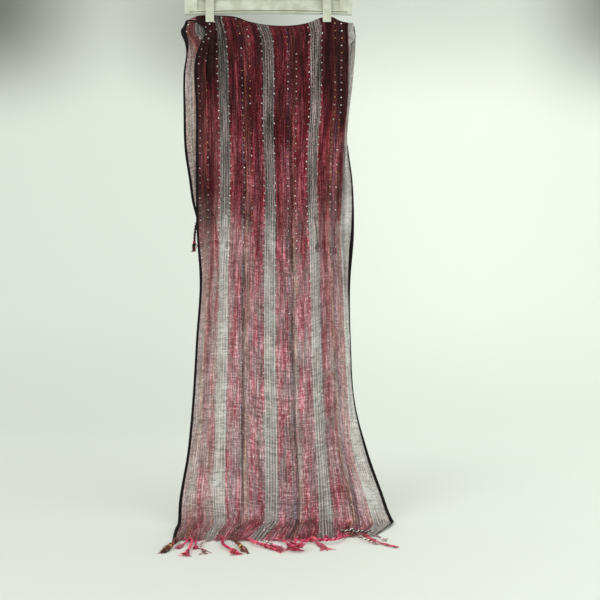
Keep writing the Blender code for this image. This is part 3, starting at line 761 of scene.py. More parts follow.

# %% Stripe chart
# The last column is how far painted shade darkens a stripe where a second layer backs it.
STRIPE_COLUMNS = ("to_mm", "ground", "run", "accent", "cover", "lines", "dims")
STRIPES = (
    (19, "rose", "beige", "white", 0.80, 0.5, 0.76),
    (30, "tan", "beige", "gold", 0.82, 0.4, 0.74),
    (37, "tan", "gold", "crimson", 0.84, 0.3, 0.72),
    (56, "blush", "crimson", "beige", 0.84, 0.2, 0.80),
    (75, "beige", "crimson", "rose", 0.83, 0.3, 0.76),
    (105, "silver", "grey", "white", 0.66, 0.8, 0.68),
    (122, "wine", "crimson", "beige", 0.90, 0.15, 0.75),
    (137, "wine", "crimson", "magenta", 0.91, 0.15, 0.76),
    (141, "tan", "wine", "slate", 0.88, 0.3, 0.74),
    (147, "dark_brown", "brown", "maroon", 0.94, 0.1, 0.66),
    (153, "tan", "wine", "gold", 0.90, 0.3, 0.74),
    (162, "wine", "tan", "gold", 0.90, 0.2, 0.75),
    (180, "wine", "crimson", "coral", 0.91, 0.15, 0.77),
    (199, "maroon", "crimson", "magenta", 0.91, 0.15, 0.75),
    (229, "grey", "ash", "silver", 0.76, 1.0, 0.58),
    (246, "wine", "crimson", "coral", 0.92, 0.15, 0.76),
    (262, "maroon", "crimson", "rose", 0.92, 0.15, 0.70),
    (271, "maroon", "tan", "slate", 0.91, 0.3, 0.68),
    (278, "dark_brown", "brown", "maroon", 0.95, 0.1, 0.66),
    (287, "tan", "wine", "gold", 0.89, 0.3, 0.70),
    (305, "wine", "crimson", "coral", 0.90, 0.15, 0.75),
    (323, "wine", "crimson", "magenta", 0.91, 0.15, 0.74),
    (354, "grey", "ash", "silver", 0.76, 1.0, 0.40),
    (367, "wine", "crimson", "rose", 0.91, 0.15, 0.72),
    (384, "blush", "crimson", "magenta", 0.91, 0.15, 0.76),
    (396, "blush", "coral", "gold", 0.90, 0.2, 0.78),
    (408, "tan", "brown", "gold", 0.89, 0.3, 0.70),
    (420, "wine", "tan", "slate", 0.89, 0.3, 0.68),
    (446, "blush", "beige", "crimson", 0.84, 0.2, 0.80),
    (489, "silver", "white", "ash", 0.60, 0.75, 0.52),
    (500, "ash", "silver", "black", 0.82, 0.5, 0.42),
)

# %% Stripes as a colour ramp
def stripe_ramp(cut_share, colour_column, share_column):
    """A colour ramp that steps through the stripes; its alpha carries one of the chart's shares."""
    node = add_node(tree_of(cut_share), "ShaderNodeValToRGB", {"Fac": cut_share})
    ramp = node.color_ramp
    ramp.interpolation = "CONSTANT"
    ramp.elements.remove(ramp.elements[1])
    start = 0.0
    for number, stripe in enumerate(STRIPES):
        row = dict(zip(STRIPE_COLUMNS, stripe))
        element = ramp.elements[0] if number == 0 else ramp.elements.new(start)
        element.color = (*YARNS[row[colour_column]][:3], row[share_column])
        start = row["to_mm"] * 0.001 / CUT_WIDTH
    return Value(node.outputs["Color"]), Value(node.outputs["Alpha"])


print(len(STRIPES), "stripes of", len(YARNS), "yarns")

# %% [markdown]
# ## The gauze
#
# Gauze is mostly holes. At this size its threads are finer than a pixel, so the finish lets the
# wall through by a share called cover, and breaks that share up with bundles, threads, weft and
# slubs. What varies is noise on the cloth itself, stretched along the warp for the yarn and
# across it for the weft. A table names each noise, so that one place holds its scale.

# %% Noise on the cloth
NOISE_COLUMNS = ("changes_across", "changes_along", "seed", "detail")
GAUZE_NOISE = {
    "wander": (60.0, 24.0, 3.0, 2.0),
    "bundle": (74.0, 14.0, 11.0, 2.0),
    "sway": (9.0, 3.0, 19.0, 2.0),
    "thread": (270.0, 15.0, 23.0, 2.0),
    "fibre": (760.0, 85.0, 31.0, 1.0),
    "dash": (190.0, 430.0, 43.0, 1.0),
    "stream": (120.0, 11.0, 53.0, 3.0),
    "patch": (44.0, 13.0, 61.0, 3.0),
    "fold_shading": (74.0, 7.0, 67.0, 3.0),
    "odd": (250.0, 9.0, 71.0, 2.0),
    "wear": (170.0, 9.0, 83.0, 2.0),
    "beat": (7.0, 230.0, 89.0, 2.0),
    "drift": (60.0, 60.0, 91.0, 2.0),
    "pick": (75.0, 380.0, 97.0, 2.0),
    "openness": (30.0, 15.0, 131.0, 3.0),
    "curl": (380.0, 270.0, 137.0, 1.0),
    "tuck": (11.0, 40.0, 151.0, 2.0),
    "crease_shade_vein": (170.0, 11.0, 167.0, 2.0),
    "crease_highlight_vein": (170.0, 11.0, 179.0, 2.0),
    "dye_run": (52.0, 9.0, 203.0, 3.0),
}
SAME_ON_EVERY_PIECE = ("wander", "sway", "drift", "openness")


def warp_place(tree):
    """The place on the cloth as it was cut: cut and drop, in metres."""
    warp = add_node(tree, "ShaderNodeUVMap", uv_map="warp")
    return split(Value(warp.outputs["UV"]))[:2]


def warp_noise(cut, drop, changes_across, changes_along, seed, detail=2.0):
    """Noise on the cloth, with its own number of changes per metre across the warp and along it."""
    place = add_node(tree_of(cut), "ShaderNodeCombineXYZ",
                     {0: cut * changes_across, 1: drop * changes_along, 2: seed})
    return noise_at(Value(place.outputs[0]), 1.0, detail)


def gauze_noise(gauze, name):
    """A noise from the table; the piece's own seed shifts all but the few that pieces share."""
    row = dict(zip(NOISE_COLUMNS, GAUZE_NOISE[name]))
    if name not in SAME_ON_EVERY_PIECE:
        row["seed"] += gauze.seed
    return warp_noise(gauze.cut, gauze.drop, **row)


def threads(place, pitch, slant):
    """Parallel threads: 1 along the middle of each, 0 in the gap beside it."""
    return maths("SINE", place * (2.0 * math.pi / pitch) + slant) * 0.5 + 0.5

# %% [markdown]
# The finish is made in the steps that a weaver and a dyer would name. First the stripe chart is
# read. "full" says how far a second layer backs the gauze, "calm" keeps the grey stripes quieter
# than the dyed ones, and "loose" is high where the gauze hangs single and its crinkle shows.

# %% Stripes of the gauze
def read_stripes(gauze):
    """Reads the chart at the cut, which wanders a little as loose weaving does."""
    cut_share = (gauze.cut + (gauze_noise(gauze, "wander") * 0.0050 - 0.0025)) / CUT_WIDTH
    gauze.ground, gauze.cover = stripe_ramp(cut_share, "ground", "cover")
    gauze.run, gauze.lines = stripe_ramp(cut_share, "run", "lines")
    gauze.accent, gauze.dims = stripe_ramp(cut_share, "accent", "dims")
    gauze.full = maths("MINIMUM", gauze.packed, 1.0)
    gauze.calm = gauze.lines * (gauze.full * 0.30 - 0.66) + 1.0
    gauze.loose = stretch(gauze.lines, 0.11, 0.14, 0.30, 1.0) * (1.0 - gauze.full * 0.55)

# %% [markdown]
# Space-dyed yarn changes colour along its length, and neighbours change at different places. So
# the run colour comes in streams, dashes and long solid lengths, and a pale veil lies where it
# ends. Odd threads are bright; the narrow tan stripes show more of them, in gold and slate.

# %% Dyed warp
VEIL = linear(150, 122, 134)


def dye_warp(gauze):
    """Colour of the warp: ground, run, odd bright threads and pale lengths."""
    full, calm, lines = gauze.full, gauze.calm, gauze.lines
    dash = stretch(gauze_noise(gauze, "dash"), 0.43, 0.57)
    dashed = stretch(gauze_noise(gauze, "bundle"), 0.53, 0.61) * (dash * 0.36 + 0.60)
    stream = maths("MAXIMUM", stretch(gauze_noise(gauze, "stream"), 0.45, 0.56) * full, dashed)
    colour = blend(stream * calm, gauze.ground, gauze.run)
    showy = stretch(lines, 0.24, 0.28) * stretch(lines, 0.48, 0.42)
    odd = gauze_noise(gauze, "odd") + (full + showy) * 0.055
    colour = blend(stretch(odd, 0.595, 0.640) * (dash * 0.5 + 0.6), colour, gauze.accent)
    dye_run = gauze_noise(gauze, "dye_run")
    gauze.solid = stretch(dye_run, 0.52, 0.58) * calm
    gauze.veil = stretch(dye_run, 0.50, 0.40) * calm * gauze.loose
    colour = blend(gauze.solid * 0.80, colour, gauze.run)
    gauze.colour = blend(gauze.veil * 0.45, colour, VEIL)


def shade_warp(gauze):
    """Tone of the warp's threads, fibres and patches, and painted fold shading where it is full."""
    calm = gauze.calm
    gauze.thread, gauze.patch = gauze_noise(gauze, "thread"), gauze_noise(gauze, "patch")
    shade = contrast(gauze.thread, 44.0, calm) * contrast(gauze_noise(gauze, "fibre"), 12.0, calm)
    shade = shade * contrast(gauze.patch, 4.5, calm)
    # Painted light and shade of folds, only where the gauze is backed.
    fold_shading = contrast(gauze_noise(gauze, "fold_shading"), 80.0, calm)
    gauze.shade = shade * (gauze.full * (fold_shading - 1.0) + 1.0)

# %% [markdown]
# The grey stripes are drawn by fine white and charcoal lines, rubbed away in places. All over,
# short curled fibres get painted highlights or darker specks, and thin veins of painted crease
# shade and highlight run down beside the warp.

# %% Hairlines, curls and veins
HAIRLINE_PITCH = 0.0062
CHARCOAL = linear(42, 39, 39)
CURL_HIGHLIGHT = linear(222, 176, 178)
VEINS = {
    "crease_shade_vein": (0.55, linear(70, 24, 34)),
    "crease_highlight_vein": (0.50, linear(222, 194, 190)),
}


def draw_hairlines(gauze):
    """Light and dark lines, as strong as the chart says."""
    hair = threads(gauze.cut, HAIRLINE_PITCH, gauze_noise(gauze, "sway") * 9.0)
    worn = gauze.lines * stretch(gauze_noise(gauze, "wear"), 0.34, 0.52, 0.30, 1.0)
    colour = blend(stretch(hair, 0.60, 0.92) * worn * 0.72, gauze.colour, YARNS["white"])
    gauze.colour = blend(stretch(hair, 0.42, 0.12) * worn * 0.86, colour, CHARCOAL)


def add_curls(gauze):
    """Painted highlights and darker specks on curled fibres, and painted crease veins."""
    curl = gauze_noise(gauze, "curl")
    share = (gauze.full * 0.85 + 0.15) * (gauze.lines * 0.20 + 0.74)
    # Painted highlights on curled fibres, then darker specks.
    gauze.colour = blend(stretch(curl, 0.60, 0.66) * share, gauze.colour, CURL_HIGHLIGHT)
    gauze.shade = gauze.shade * (1.0 - stretch(curl, 0.43, 0.36) * gauze.full * 0.66)
    # Veins: painted shade and painted highlights of fine creases along the warp.
    for name, (strength, tone) in VEINS.items():
        vein = stretch(abs(gauze_noise(gauze, name) - 0.5), 0.004, 0.022, strength, 0.0)
        gauze.colour = blend(vein * gauze.calm, gauze.colour, tone)

# %% [markdown]
# The weft crosses all of it: darker and lighter picks, an uneven beat, and small tucks that
# close the gauze and get painted shade, as where the crinkle turns away from the light. Where
# the loose gauze is brightest, a pale painted highlight is mixed into its colour.

# %% Weft
DARK_PICK, LIGHT_PICK = linear(88, 60, 66), linear(214, 184, 184)
PICK_STRENGTH = 0.48
PALE_HIGHLIGHT = linear(172, 142, 152)


def lay_weft(gauze):
    """Weft tones, strongest where the gauze is loose, with painted tuck shade and highlight."""
    loose, pick = gauze.loose, gauze_noise(gauze, "pick")
    gauze.dark_pick, light_pick = stretch(pick, 0.55, 0.64), stretch(pick, 0.45, 0.37)
    colour = blend(gauze.dark_pick * loose * PICK_STRENGTH, gauze.colour, DARK_PICK)
    colour = blend(light_pick * loose * PICK_STRENGTH, colour, LIGHT_PICK)
    gauze.beat = gauze_noise(gauze, "beat")
    meshed = loose * stretch(gauze.patch, 0.38, 0.62, -0.5, -1.5)
    # Small tucks close the gauze and get painted shade.
    gauze.tuck = stretch(abs(gauze_noise(gauze, "tuck") - 0.5), 0.002, 0.022, 1.0, 0.0) * loose
    gauze.shade = gauze.shade * ((gauze.beat - 0.5) * meshed + 1.0) * (1.0 - gauze.tuck * 0.22)
    # A pale painted highlight where the yarn is brightest.
    gauze.colour = blend(stretch(gauze.shade, 1.15, 2.1, 0.0, 0.50) * loose, colour, PALE_HIGHLIGHT)

# %% [markdown]
# Last come the holes. The chart says how much each stripe covers; threads, slubs, picks and tucks
# close the gaps, and thin lengths open them. A second layer fills most of what is left. The short
# end's hem thins out into its ragged threads.

# %% Gaps
THREAD_PITCH = 0.0016
WIDEST_GAP = 0.85
BACKED_SHARE = 0.78
HEM_FADE = 0.050


def open_gaps(gauze, open_hem):
    """The share of light that the gauze stops; an open hem fades out above that drop."""
    gauze.warp_thread = threads(gauze.cut, THREAD_PITCH, gauze.thread * 5.0)
    gaps = (1.0 - gauze.cover) * contrast(gauze_noise(gauze, "openness"), 26.0)
    gaps = gaps * contrast(gauze.thread, 0.22)
    for value, slope, start in ((gauze.beat, -1.2, 1.6), (gauze.solid, -0.50, 1.0),
                                (gauze.veil, 0.25, 1.0), (gauze.warp_thread, -0.30, 1.15),
                                (gauze.dark_pick, -0.45, 1.10), (gauze.tuck, -0.40, 1.03)):
        gaps = gaps * (value * slope + start)
    gaps = maths("MINIMUM", gaps, WIDEST_GAP)
    stopped = 1.0 - gaps * (1.0 - gauze.full * BACKED_SHARE)
    alpha = maths("MAXIMUM", maths("MINIMUM", stopped, 1.0), 0.0)
    if open_hem:
        ragged = gauze.thread * 0.07 + (gauze.drop - 0.035)
        alpha = alpha * stretch(ragged, open_hem - HEM_FADE, open_hem, 1.0, 0.15)
    return alpha

# %% Gauze finish
WEFT_PITCH = 0.0019
DEEPEST_SHADE, BRIGHTEST_SHADE = 0.065, 2.0
DOUBLED_TINT = (1.08, 0.34, 0.43, 1.0)
GAUZE_SHADER = {"Roughness": 0.72, "Sheen Weight": 0.02, "Sheen Roughness": 0.5,
                "Specular IOR Level": 0.08}


def gauze_finish(name, seed, open_hem=None):
    """See-through striped gauze; the seed shifts its dye runs."""
    material, tree, shader = new_material(name, GAUZE_SHADER)
    cut, drop = warp_place(tree)
    packed = attribute_of(tree, "packed", "Fac")
    gauze = SimpleNamespace(seed=seed, cut=cut, drop=drop, packed=packed)
    for step in (read_stripes, dye_warp, shade_warp, draw_hairlines, add_curls, lay_weft):
        step(gauze)
    alpha = open_gaps(gauze, open_hem)
    # Painted shade: dense or backed gauze is darkened, for the light that does not shine through
    # it.
    depth = maths("MAXIMUM", 1.0 - gauze.packed * gauze.dims, DEEPEST_SHADE)
    richer = gauze.full * stretch(gauze.lines, 0.74, 0.50, 0.0, 0.85)
    colour = blend(richer, gauze.colour, DOUBLED_TINT, "MULTIPLY")
    shade = maths("MINIMUM", gauze.shade * depth, BRIGHTEST_SHADE)
    feed(shader.inputs["Base Color"], scaled(colour, shade))
    feed(shader.inputs["Alpha"], alpha)
    weft = threads(drop, WEFT_PITCH, gauze_noise(gauze, "drift") * 9.0)
    height = gauze.warp_thread * 0.5 + weft * 0.4 + gauze.thread * 1.5
    add_bump(shader, height, 0.4, 0.0005)
    print(name, len(tree.nodes), "nodes")
    return material


GAUZE_FRONT = gauze_finish("gauze_front", 0.0)
GAUZE_BACK = gauze_finish("gauze_back", 200.0, BACK_LENGTH)

# %% [markdown]
# ## The long end in front
#
# One shell runs from just behind the doubled edge, over it, down the front and along the floor to
# the hem. It takes the place of the plain CAD wall, which stays in the physics. The short end
# behind it makes the upper part look darker and denser, and painted shade darkens it further.
# That end's hem is ragged, so a table says how far its threads trail down behind each place.

# %% Where the short end lies behind
TRAILS = {
    "cut": (0.000, 0.040, 0.058, 0.078, 0.104, 0.120, 0.150, 0.180, 0.200, 0.228, 0.240,
            0.262, 0.280, 0.300, 0.322, 0.330, 0.352, 0.366, 0.384, 0.446, 0.500),
    "reach": (0.078, 0.072, 0.040, 0.006, 0.006, 0.040, 0.028, 0.052, 0.044, 0.010, 0.052,
              0.046, 0.050, 0.082, 0.072, 0.008, 0.010, 0.066, 0.044, 0.010, 0.000),
}


def back_hem_height(place):
    """Height of the short end's hem behind a place, or far above where there is none."""
    cuts = np.linspace(0.0, CUT_WIDTH, 80)
    hem = back_point(cuts, BACK_LENGTH + 0.0 * cuts)
    order = np.argsort(hem[:, 0])
    heights = np.interp(place, hem[order, 0], hem[order, 2])
    outside = (place < hem[:, 0].min()) | (place > hem[:, 0].max() + 0.004)
    return np.where(outside, 0.0, heights)


def backed_share(place, height, cut):
    """How far the short end backs the front: whole above its hem, and less among its threads."""
    ragged = 0.006 * np.sin(331.0 * cut) + 0.004 * np.sin(790.0 * cut)
    reach = np.interp(cut, *TRAILS.values()) + ragged
    hem = back_hem_height(place)
    near, far = hem - 0.4 * reach, hem - reach
    whole = ease(height, near - 0.014, near + 0.014)
    return 0.60 * whole + 0.40 * ease(height, far - 0.016, far + 0.010)

# %% [markdown]
# Some places are denser still, and their colour is darker by painted shade: the bunched corners
# under the clips and along the doubled edge, the margin at the right, the darker end of the short
# end at the left, creases, and the cloth that is bunched on the floor, with a painted shadow under
# one crumple. Each soft-edged patch is a row: how much it adds, then the spans of cut and drop
# over which it comes in.

# %% Denser places
SHADED_CORNERS = (
    (0.28, ((0.125, 0.050),), ((0.21, 0.04),)),
    (0.14, ((0.340, 0.370),), ((0.26, 0.14),)),
    (0.40, ((0.418, 0.430), (0.470, 0.450)), ((0.27, 0.18),)),
    (0.20, (), ((0.008, -0.002),)),
)
LEFT_END = (0.34, ((0.080, 0.034),), ((0.24, 0.38), (0.560, 0.475)))
DARK_SIDE = (1.30, ((0.404, 0.414), (0.4472, 0.4455)), ((0.30, 0.19),))
CRUMPLE_SHADOW = {"cut": 0.392, "drop": 1.185, "wide": 0.020, "long": 0.022, "adds": 0.5}
THIN_BELOW = {"drop": (0.44, 0.50, 0.60, 0.70, 0.80), "share": (0.42, 0.36, 0.28, 0.10, 0.0)}
FULLEST = 1.40


def dense_patch(cut, drop, adds, cut_spans, drop_spans):
    """How much one patch adds at a place."""
    for place, spans in ((cut, cut_spans), (drop, drop_spans)):
        for span in spans:
            adds = adds * ease(place, *span)
    return adds


def floor_bunching(cut, drop):
    """How much denser the cloth on the floor looks, and darker by painted shade."""
    wave = 0.017 * np.sin(41.0 * cut) + 0.012 * np.sin(97.0 * cut + 1.0)
    share = 0.30 + 0.16 * np.sin(47.0 * cut) + 0.2 * ease(drop, 1.17, 1.24)
    aside = (cut - CRUMPLE_SHADOW["cut"]) / CRUMPLE_SHADOW["wide"]
    ahead = (drop - CRUMPLE_SHADOW["drop"]) / CRUMPLE_SHADOW["long"]
    # A painted shadow under the crumple near the right corner.
    crumple = CRUMPLE_SHADOW["adds"] * np.exp(-(aside**2) - ahead**2)
    return ease(drop + wave, 1.078, 1.112) * share + crumple


def front_packing_and_shade(points, cut, drop):
    """Density of the front at each of its points, which also sets its painted shade."""
    behind = backed_share(points[..., 0], points[..., 2], cut)
    corners = sum(dense_patch(cut, drop, *row) for row in SHADED_CORNERS)
    upper = 0.76 + 0.32 * ease(drop, 0.34, 0.13) + corners * ease(drop, 0.40, 0.30)
    # Creases are denser, and darker by painted shade.
    creased = 0.32 * np.clip(np.abs(crease_height(FRONT_CREASES, cut, drop)) / 0.0028, 0.0, 1.0)
    below = np.interp(drop, *THIN_BELOW.values()) + creased
    packed = behind * upper + (1.0 - behind) * below + dense_patch(cut, drop, *LEFT_END)
    packed = packed + floor_bunching(cut, drop)
    return np.clip(np.maximum(packed, dense_patch(cut, drop, *DARK_SIDE)), 0.0, FULLEST)

# %% Front shell
FOLD_SHARES = np.linspace(-1.0, 1.0, 13)[:-1]
FINE_DROP, FLOOR_DROP = 0.09, 1.04
SEAM_LAP = 0.0008
LEAD_STEP = 0.0008
BEHIND_DROP = 0.003
HOLD_CUT = 0.400


def down_the_fall(*stretches):
    """Drops down a fall, as a column; each stretch is (where it ends, its number of rows)."""
    drops = [np.zeros(1)]
    for end, rows in stretches:
        drops.append(np.linspace(drops[-1][-1], end, rows)[1:])
    return np.concatenate(drops)[:, None]


def over_rows(cut):
    """Rows from just behind the doubled edge and over it, with the small drops before it."""
    behind = back_point(cut, BEHIND_DROP + below_fold(cut, 0.0 * cut, BACK_SECTIONS))
    rows = [behind, *(over_the_fold(cut, share) for share in FOLD_SHARES)]
    return rows, np.arange(-len(rows), 0)[:, None] * LEAD_STEP


def front_shell():
    """The front fall as a shell, with its right margin turned under beside the right clip."""
    cut = np.linspace(EDGE_BAND - SEAM_LAP, CUT_WIDTH - EDGE_BAND + SEAM_LAP, 178)[None, :]
    drop = down_the_fall((FINE_DROP, 34), (FLOOR_DROP, 200), (FRONT_LENGTH, 66))
    full = CUT_WIDTH - EDGE_BAND
    edge = np.minimum(margin_edge(drop), full)
    beyond = np.maximum(cut - HOLD_CUT, 0.0) * (edge - HOLD_CUT) / (full - HOLD_CUT)
    shifted = np.minimum(cut, HOLD_CUT) + beyond
    moved = below_fold(shifted, drop, FRONT_SECTIONS)
    rows, lead = over_rows(cut)
    points = np.concatenate([*rows, front_point(shifted, moved)], axis=0)
    cuts = np.concatenate([cut + 0.0 * lead, shifted], axis=0)
    drops = np.concatenate([lead + 0.0 * cut, moved], axis=0)
    packed = front_packing_and_shade(points, cuts, drops)
    return add_shell("front_gauze", points, cuts, drops, packed, GAUZE_FRONT)


front_gauze = front_shell()
stand_for(front_gauze, "cloth_front_fall")

# %% [markdown]
# ## The margin turned under
#
# Below the right clip the front's margin is folded in behind it. Its shell is made from the
# front's own points and moved off them along their normals, so it follows every gather.

# %% Margin shell
MARGIN_DROPS = (0.040, 0.255)
MARGIN_SHOWN = 0.92
MARGIN_INSET = 0.0004
CLEAR_AT_FOLD, CLEAR_BEYOND = 0.0006, 0.0012
# The turned margin is denser, and darker by painted shade.
MARGIN_PACKED_AND_SHADED = 0.6


def unit(vectors):
    """Vectors of length one."""
    return vectors / np.linalg.norm(vectors, axis=-1, keepdims=True)


def normals_of(points):
    """Unit normals of a grid of points, from the differences along its rows and columns."""
    return unit(np.cross(np.gradient(points, axis=0), np.gradient(points, axis=1)))


def margin_shell():
    """The right margin, folded in behind the front."""
    drop = np.linspace(*MARGIN_DROPS, 60)[:, None]
    share = np.linspace(0.0, MARGIN_SHOWN, 26)[None, :]
    edge = margin_edge(drop)
    inward = (CUT_WIDTH - edge) * share
    front_cut = edge - MARGIN_INSET - inward
    points = front_point(front_cut, drop + 0.0 * front_cut)
    clear = CLEAR_AT_FOLD + CLEAR_BEYOND * ease(share, 0.0, 0.15)
    points = points + normals_of(points) * clear[..., None]
    return add_shell("margin_gauze", points, edge + inward, drop, MARGIN_PACKED_AND_SHADED, GAUZE_BACK)


margin_gauze = margin_shell()
stand_for(margin_gauze, "margin_turned_under")

# %% [markdown]
# ## The short end behind
#
# The back shell starts where the front one ends, just under the doubled edge, and hangs to its
# own hem. It is seen from behind, beside the front at both edges, and as a darker upper part
# through it. Where nothing lies in front of it, at both sides, it is pale single gauze.

# %% Back shell
BACK_EDGE_WIDTH = {
    "drop": (0.000, 0.040, 0.075, 0.200, 0.330, 0.435),
    "width": (1.60, 1.50, 0.60, 0.70, 0.85, 1.00),
}
LEFT_LIT, RIGHT_LIT = (-0.158, -0.166), (0.170, 0.176)
HOOD_DROP = (0.085, 0.035)
BUNCHED_CUT = 0.048


def back_packing_and_shade(place, drop):
    """Density and painted shade of the back: high in its middle and hood, single at both sides."""
    in_hood = ease(drop, *HOOD_DROP)
    lit = (1.0 - 0.80 * in_hood) * ease(place, *LEFT_LIT)
    lit = lit + ease(place, *RIGHT_LIT) * (1.0 - 0.45 * ease(drop, 0.14, 0.06))
    return (0.80 + 0.25 * in_hood) * (1.0 - np.clip(lit, 0.0, 1.0))


def back_shell():
    """The back fall as a shell; in the hood more of the cut is bunched into its width."""
    share = np.linspace(0.0, 1.0, 170)[None, :]
    drop = down_the_fall((FINE_DROP, 34), (BACK_LENGTH, 90))
    start = EDGE_BAND * np.minimum(np.interp(drop, *BACK_EDGE_WIDTH.values()), 1.0) - SEAM_LAP
    cut = start + share * (CUT_WIDTH - EDGE_BAND + SEAM_LAP - start)
    moved = below_fold(cut, drop, BACK_SECTIONS) + BEHIND_DROP * ease(drop, 0.060, 0.0)
    points = back_point(cut, moved)
    bunched = BUNCHED_CUT * ease(cut, 0.002, 0.036) * ease(cut, 0.160, 0.060)
    dense = back_packing_and_shade(points[..., 0], moved)
    return add_shell("back_gauze", points, cut + bunched * ease(moved, *HOOD_DROP), moved, dense,
                     GAUZE_BACK)


back_gauze = back_shell()
stand_for(back_gauze, "cloth_back_fall")

# %% [markdown]
# ## Black selvedges
#
# Both long edges of the scarf are woven dense and black, and draw in to a soft flat cord. Each is
# a closed strip with a lens-shaped section, laid on the same surface as the gauze beside it.

# %% Selvedge finish
SELVEDGE_TWIST = {"pitch": 0.0021, "slant": 2200.0}
BLACK_THREAD = (linear(17, 13, 15), linear(40, 32, 36))
LINT = linear(112, 92, 98)
SELVEDGE_SHADER = {"Roughness": 0.8, "Specular IOR Level": 0.1}


def selvedge_finish():
    """Dense black thread with a fine slanting twist and a little lint."""
    material, tree, shader = new_material("black_selvedge", SELVEDGE_SHADER)
    cut, drop = warp_place(tree)
    twist = threads(drop, SELVEDGE_TWIST["pitch"], cut * SELVEDGE_TWIST["slant"])
    lint = warp_noise(cut, drop, 700.0, 260.0, 5.0, detail=3.0)
    colour = blend(twist * 0.6, *BLACK_THREAD)
    colour = blend(stretch(lint, 0.62, 0.72, 0.0, 0.4), colour, LINT)
    feed(shader.inputs["Base Color"], colour)
    add_bump(shader, twist, 0.5, 0.0005)
    return material


BLACK_SELVEDGE = selvedge_finish()

# %% Selvedge strips
EDGE_RIM, EDGE_CROWN = 0.00025, 0.00065
EDGE_FUZZ = 0.00012


def ring_faces(count, around):
    """Quads of a tube whose points run ring by ring, and the two faces that close its ends."""
    index = np.arange(count * around).reshape(count, around)
    turned = np.roll(index, -1, axis=1)
    quads = np.stack([index[:-1], index[1:], turned[1:], turned[:-1]], axis=-1).reshape(-1, 4)
    return quads.tolist() + [index[0].tolist(), index[-1][::-1].tolist()]


def face_outwards(mesh):
    """Turns the faces of a closed mesh outwards."""
    shape = bmesh.new()
    shape.from_mesh(mesh)
    bmesh.ops.recalc_face_normals(shape, faces=shape.faces)
    shape.to_mesh(mesh)
    shape.free()


def add_selvedge(name, middle, cut, drop, node):
    """A closed strip round a grid of points: a lens across its width, thin at both sides."""
    rows, columns = middle.shape[:2]
    share = np.linspace(0.0, 1.0, columns)[None, :]
    thick = EDGE_RIM + EDGE_CROWN * np.sin(math.pi * share)
    fuzz = EDGE_FUZZ * np.sin(900.0 * drop + 3.0 * share)
    outward = normals_of(middle) * (thick + fuzz)[..., None]
    loop = np.concatenate([middle + outward, (middle - outward)[:, ::-1]], axis=1)
    cuts = np.broadcast_to(np.concatenate([cut, cut[:, ::-1]], axis=1), loop.shape[:2])
    drops = np.broadcast_to(drop, loop.shape[:2])
    faces = ring_faces(rows, 2 * columns)
    mesh = bpy.data.meshes.new(name)
    mesh.from_pydata(loop.reshape(-1, 3).tolist(), [], faces)
    add_uv(mesh, "warp", np.stack([cuts, drops], axis=-1).reshape(-1, 2)[np.concatenate(faces)])
    mesh.materials.append(BLACK_SELVEDGE)
    face_outwards(mesh)
    mesh.shade_smooth()
    strip = add_object(name, mesh)
    stand_for(strip, node)
    return strip

# %% The four edges
LEFT_EDGE_WIDTH = {
    "drop": (0.00, 0.50, 0.56, 0.70, 1.00, 1.247),
    "width": (1.0, 1.0, 1.4, 1.15, 1.0, 1.0),
}
RIGHT_EDGE_WIDTH = {
    "drop": (0.26, 0.40, 0.46, 0.50, 0.56, 0.62, 0.67, 0.85, 0.95, 1.247),
    "width": (1.0, 1.0, 1.6, 2.3, 2.3, 1.6, 1.0, 1.0, 1.2, 1.1),
}
RIGHT_EDGE_START = 0.268
HOOD_SHIFT = 0.008
LEFT_CUT = np.linspace(0.0, EDGE_BAND, 6)[None, :]
RIGHT_CUT = CUT_WIDTH - LEFT_CUT[:, ::-1]


def front_left_edge():
    """The front's left edge: from behind the doubled edge, over it and down to the hem."""
    drop = down_the_fall((FINE_DROP, 30), (FRONT_LENGTH, 230))
    width = np.interp(drop, *LEFT_EDGE_WIDTH.values())
    rows, lead = over_rows(LEFT_CUT)
    rows.append(front_point(LEFT_CUT * width, below_fold(LEFT_CUT, drop, FRONT_SECTIONS)))
    return add_selvedge("selvedge_front_left", np.concatenate(rows, axis=0), LEFT_CUT,
                        np.concatenate([lead, drop], axis=0), "edge_front_left")


def front_right_edge():
    """The front's right edge, from where the margin is no longer turned under."""
    drop = down_the_fall((FINE_DROP, 30), (FRONT_LENGTH, 230))
    drop = drop[drop[:, 0] > RIGHT_EDGE_START]
    inward = (CUT_WIDTH - RIGHT_CUT) * np.interp(drop, *RIGHT_EDGE_WIDTH.values())
    points = front_point(CUT_WIDTH - inward, drop + 0.0 * RIGHT_CUT)
    return add_selvedge("selvedge_front_right", points, RIGHT_CUT, drop, "edge_front_right")


def back_edges():
    """Both edges of the short end; the left one is wider in the hood."""
    drop = down_the_fall((FINE_DROP, 30), (BACK_LENGTH, 70))
    moved = drop + HOOD_SHIFT * ease(drop, 0.060, 0.0)
    width = np.interp(drop, *BACK_EDGE_WIDTH.values())
    left = back_point(LEFT_CUT * width, moved + 0.0 * LEFT_CUT)
    right = back_point(RIGHT_CUT + 0.0 * moved, moved + 0.0 * RIGHT_CUT)
    return [add_selvedge("selvedge_back_left", left, LEFT_CUT, moved, "edge_back_left"),
            add_selvedge("selvedge_back_right", right, RIGHT_CUT, moved, "edge_back_right")]


selvedges = [front_left_edge(), front_right_edge(), *back_edges()]

# %% [markdown]
# ## Fringe
#
# At both hems the warp ends are gathered in bunches and twisted into two-ply tassels, each with a
# knot near its end and a loose tuft past it. On the long end they lie on the floor and every one
# lies its own way, so a table places them: how far along the hem each starts, and where its
# middle and its tip lie from there. A ply is a thin tube that winds round the tassel's path.

